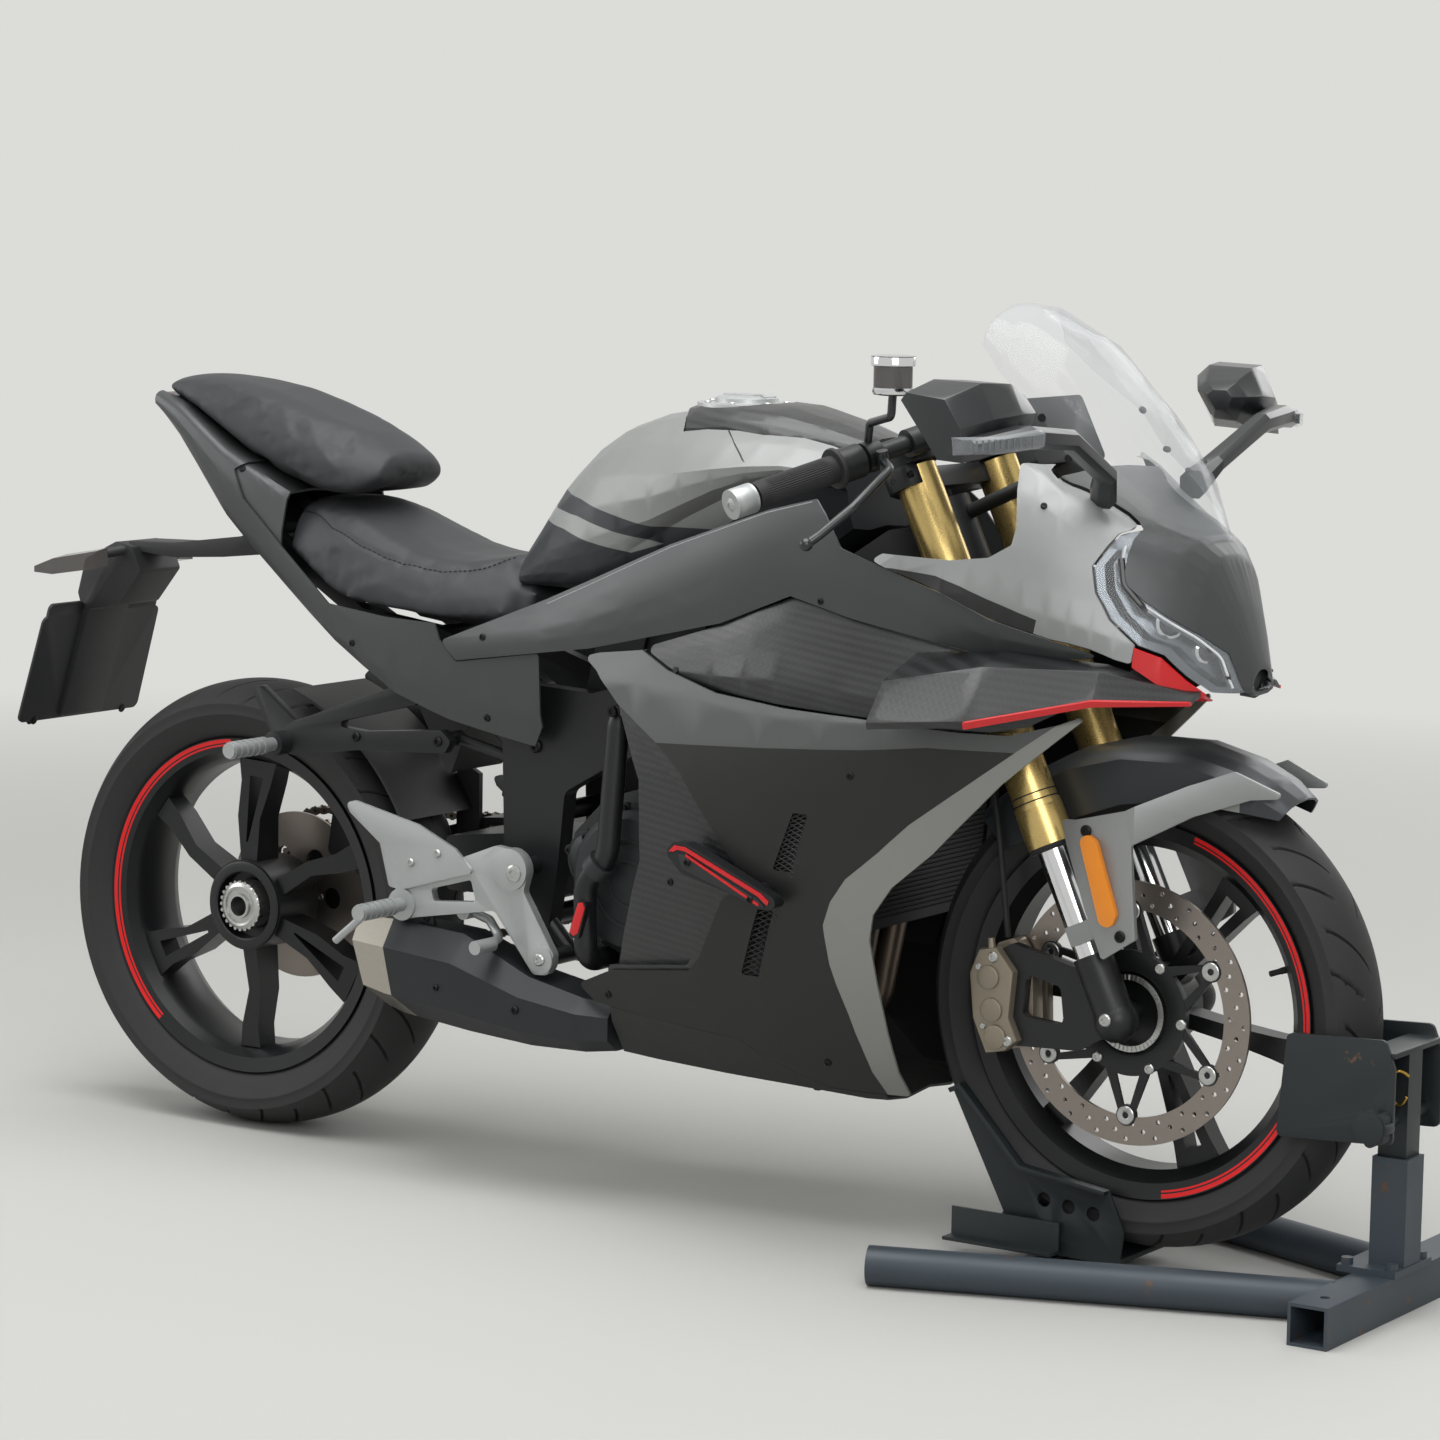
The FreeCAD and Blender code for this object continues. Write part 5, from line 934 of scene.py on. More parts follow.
            rod(sensor, axle + out * 0.0405 + SIDEWAYS * ((side - 4.8) / 1000),
                axle + out * 0.0465 + SIDEWAYS * ((side - 4.8) / 1000), 0.9, sides=6)
        self.add_piece("front_sensor_ring", sensor, "front_wheel", BOLT_STEEL, "silver_alloy")

    def chain(self) -> None:
        """Lay links with rollers round the two sprockets."""
        front = work(640, 0, 413)
        rear_r, front_r = self.rear_loop, self.front_loop
        gap = front - REAR_AXLE
        tilt, spread = math.atan2(gap.z, gap.x), math.acos((rear_r - front_r) / 1000 / gap.length)
        run = math.sqrt(gap.length ** 2 - ((rear_r - front_r) / 1000) ** 2) * 1000
        lengths = [run, front_r * 2 * spread, run, rear_r * 2 * (math.pi - spread)]
        total = sum(lengths)
        count = round(total / self.chain_pitch / 2) * 2

        def spot(at: float) -> tuple[Vector, Vector]:
            """The chain's middle and its way at a distance along the loop.

            Args:
                at: Millimetres along the loop.

            Returns:
                The point, and the way the chain runs there.
            """
            at %= total
            if at < lengths[0]:
                turn = tilt + spread
                start = REAR_AXLE + radial(turn) * (rear_r / 1000)
                way = Vector((math.sin(turn), 0, -math.cos(turn)))
                return start + way * (at / 1000), way
            at -= lengths[0]
            if at < lengths[1]:
                turn = tilt + spread - at / front_r
                return (front + radial(turn) * (front_r / 1000),
                        Vector((math.sin(turn), 0, -math.cos(turn))))
            at -= lengths[1]
            if at < lengths[2]:
                turn = tilt - spread
                start = front + radial(turn) * (front_r / 1000)
                way = Vector((math.sin(turn), 0, -math.cos(turn)))
                return start + way * (at / 1000), way
            at -= lengths[2]
            turn = tilt - spread - at / rear_r
            return (REAR_AXLE + radial(turn) * (rear_r / 1000),
                    Vector((math.sin(turn), 0, -math.cos(turn))))

        mesh = bmesh.new()
        for i in range(count):
            middle, way = spot(total * i / count)
            up = Vector((-way.z, 0, way.x))
            pin = middle + SIDEWAYS * (self.chain_side / 1000)
            rod(mesh, pin - SIDEWAYS * 0.0045, pin + SIDEWAYS * 0.0045, 5.0, sides=10)
            rod(mesh, pin - SIDEWAYS * 0.0088, pin + SIDEWAYS * 0.0088, 2.4, sides=8)
            far, _ = spot(total * (i + 1) / count)
            across = 0.0055 if i % 2 else 0.0072
            for lean in SIDES:
                base = (middle + far) / 2 + SIDEWAYS * (self.chain_side / 1000 + across * lean)
                reach, tall = way * (self.chain_pitch * 0.78 / 1000), up * 0.0062
                slab(mesh, [base - reach - tall * 0.5, base - reach * 0.75 - tall, base - tall * 0.6,
                            base + reach * 0.75 - tall, base + reach - tall * 0.5, base + reach + tall * 0.5,
                            base + reach * 0.75 + tall, base + tall * 0.6, base - reach * 0.75 + tall,
                            base - reach + tall * 0.5], SIDEWAYS * (0.0016 * lean))
        piece = self.add_piece("chain_links", mesh, "chassis", CHAIN_STEEL, "chain")
        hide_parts("chain_loop")

    def hubs(self) -> None:
        """Rear hub nut with its spring clip, sprocket and disc screws, valves and hub rings."""
        nut = bmesh.new()
        for i in range(24):
            turn = math.tau * i / 24
            out = radial(turn)
            rod(nut, REAR_AXLE + out * 0.0325 - SIDEWAYS * 0.0625,
                REAR_AXLE + out * 0.0325 - SIDEWAYS * 0.0555, 2.6, sides=8)
        spun(nut, [(31, -63), (33, -61), (33, -56), (24, -56), (24, -64), (27, -65)], REAR_AXLE, steps=48)
        spun(nut, [(16.8, -66), (16.8, -58), (13.5, -58), (13.5, -66)], REAR_AXLE, steps=36)
        self.add_piece("rear_hub_nut", nut, "rear_wheel", BOLT_STEEL, "spindle")
        ring = bmesh.new()
        spun(ring, [(60, -54.5), (57, -56.0), (48, -56.0), (46, -54.5), (46, -51), (60, -51)],
             REAR_AXLE, steps=60)
        self.add_piece("rear_hub_ring", ring, "rear_wheel", FRAME_BLACK, "black_rim")
        bolts = bmesh.new()
        for i in range(6):
            turn = math.radians(60 * i)
            out = radial(turn)
            screw(bolts, REAR_AXLE + out * 0.040 + SIDEWAYS * 0.139, SIDEWAYS, 7.5, 5)
            screw(bolts, REAR_AXLE + out * 0.040 + SIDEWAYS * 0.0637, -SIDEWAYS, 5, 3)
        self.add_piece("rear_disc_screws", bolts, "rear_wheel", BOLT_STEEL, "spindle")
        for axle, body, name in ((FRONT_AXLE, "front_wheel", "front_valve"),
                                 (REAR_AXLE, "rear_wheel", "rear_valve")):
            valve = bmesh.new()
            out = Vector((math.cos(math.radians(20)), 0, math.sin(math.radians(20))))
            foot = axle + out * 0.1965
            rod(valve, foot, foot - out * 0.020, 4.6, 4.0, 14)
            rod(valve, foot - out * 0.020, foot - out * 0.034, 3.6, sides=14)
            self.add_piece(name, valve, body, RUBBER, "grip_rubber")


@dataclass
class RunningGear(Group):
    """Frame, swingarm, engine and what hangs from them."""

    finishes: dict[str, tuple[Finish, Edge]] = field(default_factory=lambda: {
        "main_frame": (FRAME_BLACK, Edge.SOFT), "swingarm": (FRAME_BLACK, Edge.SOFT),
        "rear_shock": (FRAME_BLACK, Edge.SOFT), "engine_block": (CAST_DARK, Edge.BROKEN),
        "engine_covers": (COVER_GREY, Edge.BROKEN), "radiator": (CAST_DARK, Edge.SOFT),
        "header_pipes": (HEADER, Edge.SOFT),
        "muffler": (MUFFLER_BLACK, Edge.SOFT), "muffler_cap": (STAINLESS, Edge.SOFT),
        "rearsets": (ALLOY, Edge.BROKEN), "foot_controls": (ALLOY, Edge.SOFT),
        "peg_carriers": (FRAME_BLACK, Edge.BROKEN), "side_stand": (FRAME_BLACK, Edge.SOFT),
        "crash_guards": (FRAME_BLACK, Edge.SOFT), "rear_hugger": (BLACK_PLASTIC, Edge.SOFT)})
    guard_tube: float = 14.5
    # side, x, z, radius and height of each round cover
    cover_shapes: tuple = ((-1, 700, 420, 92, 34), (-1, 812, 430, 52, 22), (-1, 625, 440, 34, 16),
                           (1, 800, 430, 74, 30))

    def build(self) -> None:
        """Add screws, cover rings, guard clamps, fins and the pads' coloured lines."""
        self.engine_details()
        self.rearset_screws()
        self.guards()
        self.fins()

    def engine_details(self) -> None:
        """Raised rings and screws on the engine's covers, and ribs across its cylinders."""
        rings, screws, dark = bmesh.new(), bmesh.new(), bmesh.new()
        for side, x, z, radius, height in self.cover_shapes:
            face = side * (112 + height)
            middle = work(x, 0, z)
            for share in (0.62, 0.34):
                reach = radius * share
                spun(rings, [(reach, face - side * 0.5), (reach - 1.0, face + side * 2.2),
                             (reach - 4.0, face + side * 2.2), (reach - 5.0, face - side * 0.5)],
                     middle, steps=48)
            lip = side * (112 + height * 0.35)
            spun(rings, [(radius + 6, lip - side * 4), (radius + 6, lip), (radius - 2, lip), (radius - 2,
                                                                                          lip - side * 4)],
                 middle, steps=60)
            for i in range(8 if radius > 50 else 5):
                turn = math.tau * (i + 0.3) / (8 if radius > 50 else 5)
                out = radial(turn)
                place = middle + out * ((radius + 3) / 1000) + SIDEWAYS * ((lip - side * 6) / 1000)
                rod(rings, place, place + SIDEWAYS * (side * 0.0085), 7.0, sides=18)
                screw(screws, place + SIDEWAYS * (side * 0.0085), SIDEWAYS * side, 4.6, 3.6)
        for level in range(6):
            z = 560 + level * 18
            for side in SIDES:
                slab(dark, [work(690 + level * 9, side * 64, z), work(930 - level * 4, side * 64, z - 12),
                            work(930 - level * 4, side * 64, z - 7), work(690 + level * 9, side * 64, z + 5)],
                     SIDEWAYS * (side * 0.007))
        self.add_piece("engine_cover_rings", rings, "chassis", COVER_GREY, "engine_cover")
        self.add_piece("engine_cover_screws", screws, "chassis", BLACK_BOLT, "black_alloy")
        self.add_piece("cylinder_ribs", dark, "chassis", CAST_DARK, "engine_black")

    def rearset_screws(self) -> None:
        """Screws of the rearsets, heel plates, peg carriers, muffler and frame."""
        bright, black = bmesh.new(), bmesh.new()
        for side in SIDES:
            for x, z, radius in ((412, 432, 5.5), (369, 416, 5.5), (533, 418, 11.0), (574, 311, 8.0),
                                 (353, 359, 9.0)):
                spot, facing = self.beside("rearsets", side, x, z)
                screw(bright, spot, facing, radius, 3.5)
            for x, z in ((250, 566), (384, 571), (128, 548)):
                spot, facing = self.beside("peg_carriers", side, x, z)
                screw(black, spot, facing, 6.5, 4)
            for x, z in ((525, 575), (500, 380), (985, 800)):
                spot, facing = self.beside("main_frame", side, x, z)
                screw(black, spot, facing, 8.5, 5)
        for x, z, radius in ((556, 248, 5.5), (430, 262, 4.0), (382, 342, 5.0)):
            spot, facing = self.beside("muffler", -1, x, z)
            screw(black, spot, facing, radius, 3)
        self.add_piece("rearset_screws", bright, "chassis", BOLT_STEEL, "silver_alloy")
        self.add_piece("frame_screws", black, "chassis", BLACK_BOLT, "black_alloy")
        plug = bmesh.new()
        for side in SIDES:
            spun(plug, [(17, side * 104), (17, side * 126), (13, side * 126), (13, side * 106),
                        (0, side * 106), (0, side * 104)], work(516, 0, 600), steps=32)
        self.add_piece("frame_tube_ends", plug, "chassis", FRAME_BLACK, "frame_steel")

    def guards(self) -> None:
        """Clamps, red tags and screws on the tubular guards, and red lines on the crash pads."""
        clamps, red, dark, bright = bmesh.new(), bmesh.new(), bmesh.new(), bmesh.new()
        for side in SIDES:
            low, high = work(648, side * 168, 420), work(682, side * 168, 455)
            way = (high - low).normalized()
            middle = low + way * 0.030
            spun(clamps, [(self.guard_tube + 5, -9), (self.guard_tube + 5, 9), (self.guard_tube - 1, 9),
                          (self.guard_tube - 1, -9)], middle, way, 32)
            screw(bright, work(690, side * 158, 640) + Vector((0, side * 0.0142, 0)), SIDEWAYS * side, 7, 4)
            tag = [(638, 358), (644, 353), (651, 357), (661, 390), (658, 397), (651, 396)]
            slab(red, [work(x, side * 185.5, z) for x, z in tag], SIDEWAYS * (side * 0.0016), 0.0006)
            face = 252.0
            outer = [(832, 488), (840, 496), (856, 495), (966, 450), (978, 441), (976, 436)]
            inner = [(839, 488), (844, 491), (856, 490), (962, 446), (970, 440), (976, 436)]
            slab(red, [work(x, side * (face - 0.4), z) for x, z in outer + inner[::-1]],
                 SIDEWAYS * (side * 0.0016))
            slab(red, [work(x, side * (face + 1.4), z)
                       for x, z in ((858, 487), (965, 437), (964, 434), (858, 484))],
                 SIDEWAYS * (side * 0.0014))
            slab(dark, [work(x, side * (face - 0.4), z)
                        for x, z in ((846, 486), (856, 486), (962, 442), (972, 434), (966, 432),
                                     (852, 468))],
                 SIDEWAYS * (side * 0.0022), 0.0008)
            for x, z in ((860, 477), (952, 441)):
                screw(bright, work(x, side * (face + 1.6), z), SIDEWAYS * side, 4.6, 2.6)
        self.add_piece("guard_clamps", clamps, "chassis", COVER_GREY, "black_alloy")
        self.add_piece("guard_red_lines", red, "chassis", RED_GLOSS, "red")
        self.add_piece("crash_pad_inserts", dark, "chassis", BLACK_PLASTIC, "black_plastic")
        self.add_piece("guard_screws", bright, "chassis", BLACK_BOLT, "black_alloy")

    def fins(self) -> None:
        """Wire-thin fins across the radiator's two faces."""
        fins = bmesh.new()
        for i in range(46):
            z = 408 + i * 6.1
            x = 1012 + (z - 400) * 0.0986
            for ahead in (-1.2, 34.6):
                slab(fins, [work(x + ahead, -122, z), work(x + ahead + 0.6, -122, z + 1.6),
                            work(x + ahead + 1.8, -122, z + 1.6), work(x + ahead + 1.2, -122, z)],
                     SIDEWAYS * 0.244)
        self.add_piece("radiator_fins", fins, "chassis", CAST_DARK, "radiator")


@dataclass
class Bodywork(Group):
    """Tank, tail, side panels, nose, screen and trims."""

    finishes: dict[str, tuple[Finish, Edge]] = field(default_factory=lambda: {
        "fuel_tank": (TANK_SILVER, Edge.SOFT), "tank_cover": (CARBON, Edge.SOFT),
        "fuel_cap": (ALLOY, Edge.BROKEN), "tail_cowl": (GUNMETAL, Edge.SOFT),
        "under_tail": (BLACK_PLASTIC, Edge.SOFT), "plate_hanger": (BLACK_PLASTIC, Edge.BROKEN),
        "side_covers": (GUNMETAL, Edge.SOFT), "side_fairings": (FAIRING_PAINT, Edge.SOFT),
        "carbon_panels": (CARBON, Edge.SOFT), "belly_pan": (NEAR_BLACK, Edge.SOFT),
        "nose_cowl": (GUNMETAL, Edge.SOFT), "cowl_sides": (COWL_SILVER, Edge.SOFT),
        "winglets": (CARBON, Edge.BROKEN), "red_trim": (RED_GLOSS, Edge.SOFT),
        "windscreen": (CLEAR_SCREEN, Edge.SOFT), "dash_panel": (BLACK_PLASTIC, Edge.BROKEN),
        "headlamps": (CLEAR_LENS, Edge.SOFT), "lamp_bowls": (LAMP_CHROME, Edge.SOFT),
        "indicator_lamps": (CLEAR_LENS, Edge.SOFT), "mirrors": (SMOOTH_BLACK, Edge.ROUNDED)})
    # panel, x, z and head radius of each panel screw
    panel_screws: tuple = (("side_fairings", 1000, 230, 5.0), ("side_fairings", 690, 282, 5.0),
                           ("side_fairings", 1075, 600, 4.5), ("belly_pan", 640, 232, 5.5),
                           ("belly_pan", 960, 186, 5.0), ("side_covers", 470, 715, 4.5),
                           ("side_covers", 1000, 800, 4.0), ("tail_cowl", 470, 610, 5.0),
                           ("tail_cowl", 35, 905, 5.0), ("tail_cowl", 250, 690, 4.5),
                           ("carbon_panels", 800, 440, 4.5), ("carbon_panels", 770, 700, 4.0),
                           ("cowl_sides", 1290, 930, 4.0))
    lamp_mask: tuple = ((1377, 872), (1384, 842), (1414, 806), (1464, 768), (1482, 732))
    lamp_seam: tuple = ((1368, 864), (1378, 888), (1380, 848), (1404, 820), (1456, 781), (1475, 758),
                        (1486, 722))

    def build(self) -> None:
        """Add lamps, vents, seams, screws, the display, the mirrors' glass and the tank's fittings."""
        self.lamps()
        self.vents()
        self.seams()
        self.screws()
        self.cockpit()
        self.filler()

    def lamps(self) -> None:
        """Projectors and light strips behind the headlamp lenses, lamp ribs, and the tail light."""
        bezels, glass, strips, masks = bmesh.new(), bmesh.new(), bmesh.new(), bmesh.new()
        for side in SIDES:
            for start, radius in (((1700, 330, 800), 15.0), ((1700, 210, 770), 12.0)):
                goal = (1420, 92, 798) if radius > 13 else (1458, 66, 765)
                origin = work(start[0], side * start[1], start[2])
                way = work(goal[0], side * goal[1], goal[2]) - origin
                spot, _ = self.touch("headlamps", origin, way)
                out = -way.normalized()
                spot = spot - out * 0.010
                spun(bezels, [(radius + 3.5, -8), (radius + 3.5, 0), (radius, 1.5), (radius - 1, -1),
                              (radius - 1, -8)], spot, out, 32)
                spun(glass, [(0, 3.5)] + [((radius - 1) * math.sin(math.radians(a)),
                                           3.5 - 5 * (1 - math.cos(math.radians(a))))
                                          for a in (20, 40, 60, 80, 90)]
                     + [(radius - 1, -4), (0, -4)], spot, out, 32)
            merge(strips, self.inlay("lamp_bowls", side, self.lamp_seam, 1.7, -1.0))
            merge(masks, self.inlay("lamp_bowls", side, self.lamp_mask, 4.5, 0.0))
        self.add_piece("projector_bezels", bezels, "chassis", CHROME, "lamp_chrome")
        self.add_piece("projector_lenses", glass, "chassis", SCREEN_GLASS, "lens")
        self.add_piece("light_strips", strips, "chassis", MILKY_LENS, "lens")
        self.add_piece("lamp_masks", masks, "chassis", SMOOTH_BLACK, "black_plastic")
        self.repaint("indicator_lamps", SMOKED_LENS, lambda at: at.x < -0.80 and at.z > 0.9)
        self.repaint("indicator_lamps", SMOKED_CUP, lambda at: at.x < -0.88 and at.z < 0.9)
        ribs = bmesh.new()
        for side in SIDES:
            for i in range(11):
                share = i / 10
                y = 334 + 74 * share
                x = 1374.5 - 38 * share if i < 10 else 1338.0
                rod(ribs, work(x - 2.6, side * y, 1010 - 4 * share),
                    work(x - 2.6, side * y, 1022 - 4 * share), 1.3, sides=8)
        self.add_piece("blinker_ribs", ribs, "chassis", LAMP_CHROME, "lamp_chrome")

    def vents(self) -> None:
        """Wire mesh behind the slots of the side panels."""
        wires = bmesh.new()
        for side in SIDES:
            for (tx, tz), (fx, fz) in (((1007, 548), (978, 475)), ((953, 424), (920, 337))):
                top, _ = self.beside("side_fairings", side, tx - 18, tz)
                foot, _ = self.beside("side_fairings", side, fx - 20, fz)
                inner = (foot.y + top.y) * 500 - side * 16
                slab(wires, [work(fx - 26, inner, fz - 14), work(tx - 26, inner, tz + 14),
                             work(tx + 26, inner, tz + 14), work(fx + 26, inner, fz - 14)],
                     SIDEWAYS * (-side * 0.002))
                for i in range(13):
                    share = i / 12
                    x, z = fx + (tx - fx) * share, fz + (tz - fz) * share
                    y = (foot.y + (top.y - foot.y) * share) * 1000 - side * 2.4
                    for lean in SIDES:
                        rod(wires, work(x - 15, y, z - 7 * lean), work(x + 15, y, z + 7 * lean), 0.9, sides=5)
        self.add_piece("vent_mesh", wires, "chassis", BLACK_PLASTIC, "black_plastic")
        liners = bmesh.new()
        for side in SIDES:
            slab(liners, [work(x, side * 66, z)
                          for x, z in ((565, 610), (600, 745), (760, 815), (940, 850), (1050, 815),
                                       (1070, 700), (1000, 610), (800, 600))],
                 SIDEWAYS * (side * 0.003), 0.001)
            for i in range(5):
                x = 640 + 85 * i
                slab(liners, [work(x, side * 69, 625), work(x + 5, side * 69, 625),
                              work(x + 45, side * 69, 770), work(x + 40, side * 69, 770)],
                     SIDEWAYS * (side * 0.006), 0.001)
        self.add_piece("inner_liners", liners, "chassis", BLACK_PLASTIC, "black_plastic")
        plug = bmesh.new()
        slab(plug, [work(1488, y, z) for y, z in ((-34, 712), (-30, 742), (30, 742), (34, 712), (0, 706))],
             Vector((0.0035, 0, 0)), 0.001)
        self.add_piece("nose_plug", plug, "chassis", BLACK_PLASTIC, "black_plastic")

    def seams(self) -> None:
        """Dark joints drawn over the tank, and a fine pale edge line along the side covers."""
        dark, pale = bmesh.new(), bmesh.new()
        for side in SIDES:
            merge(dark, self.inlay("fuel_tank", side, ((806, 992), (822, 984), (850, 966), (872, 952)),
                                   1.1, 0.4))
            merge(pale, self.inlay("side_covers", side,
                                   ((560, 763), (760, 848), (912, 901), (980, 918)), 0.9, 0.5))
        self.add_piece("tank_joints", dark, "chassis", BLACK_PLASTIC, "black_plastic")
        self.add_piece("side_cover_edges", pale, "chassis", SILVER, "silver_paint")

    def screws(self) -> None:
        """Button screws that hold the panels, the plate holder and the screen."""
        black = bmesh.new()
        for side in SIDES:
            for node, x, z, radius in self.panel_screws:
                spot, facing = self.beside(node, side, x, z)
                screw(black, spot, facing, radius, 2.0)
            for y, z in ((92, 668), (96, 556)):
                spot, facing = self.touch("plate_hanger", work(100, side * y, z), Vector((-1, 0, -0.30)))
                screw(black, spot, facing, 6.0, 1.2)
            for x, y in ((1335, 112), (1350, 124)):
                spot, facing = self.touch("mirrors", work(x, side * y, 1200), Vector((0, 0, -1)))
                screw(black, spot, facing, 3.6, 2.0)
            for x, z in ((1265, 1015), (1350, 935)):
                spot, facing = self.beside("windscreen", side, x, z)
                screw(black, spot, facing, 5.0, 2.0)
        self.add_piece("panel_screws", black, "chassis", BLACK_BOLT, "black_alloy")

    def cockpit(self) -> None:
        """Display glass on the dash, and glass on the mirrors' rear faces."""
        display = bmesh.new()
        slab(display, [work(1181.5, -66, 1030), work(1181.5, 66, 1030), work(1211.5, 70, 970),
                       work(1211.5, -70, 970)], Vector((-0.0016, 0, -0.0007)))
        self.add_piece("display_glass", display, "chassis", SCREEN_GLASS, "lens")
        glass = bmesh.new()
        for side in SIDES:
            corners = [(266, 1020), (262, 1050), (300, 1066), (350, 1069), (384, 1058), (380, 1012),
                       (350, 1004), (300, 1008)]
            face = []
            for y, z in corners:
                spot, _ = self.touch("mirrors", work(900, side * y, z), Vector((1, 0, 0)))
                face.append(spot + Vector((-0.0012, 0, 0)))
            slab(glass, face, Vector((0.0024, 0, 0)))
        self.add_piece("mirror_glass", glass, "chassis", CHROME, "lens")

    def filler(self) -> None:
        """Pale filler lid with its hinge, lock flap and ring of screws."""
        lid, screws = bmesh.new(), bmesh.new()
        middle = work(768, 0, 0)
        spun(lid, [(0, 1031), (30, 1031), (37, 1029), (40, 1027.5), (40, 1024), (0, 1024)], middle,
             Vector((0, 0, 1)), 56)
        slab(lid, [work(x, y, 1030.6) for x, y in ((740, -11), (786, -11), (790, 0), (786, 11), (740, 11))],
             Vector((0, 0, 0.0022)), 0.0008)
        rod(lid, work(800, -14, 1029), work(800, 14, 1029), 3.4)
        for i in range(7):
            turn = math.tau * (i + 0.5) / 7
            screw(screws, work(768 + 51 * math.cos(turn), 51 * math.sin(turn), 1021.8),
                  Vector((0, 0, 1)), 4.2, 2.4)
        self.add_piece("filler_lid", lid, "chassis", ALLOY, "silver_alloy")
        self.add_piece("filler_screws", screws, "chassis", BOLT_STEEL, "silver_alloy")


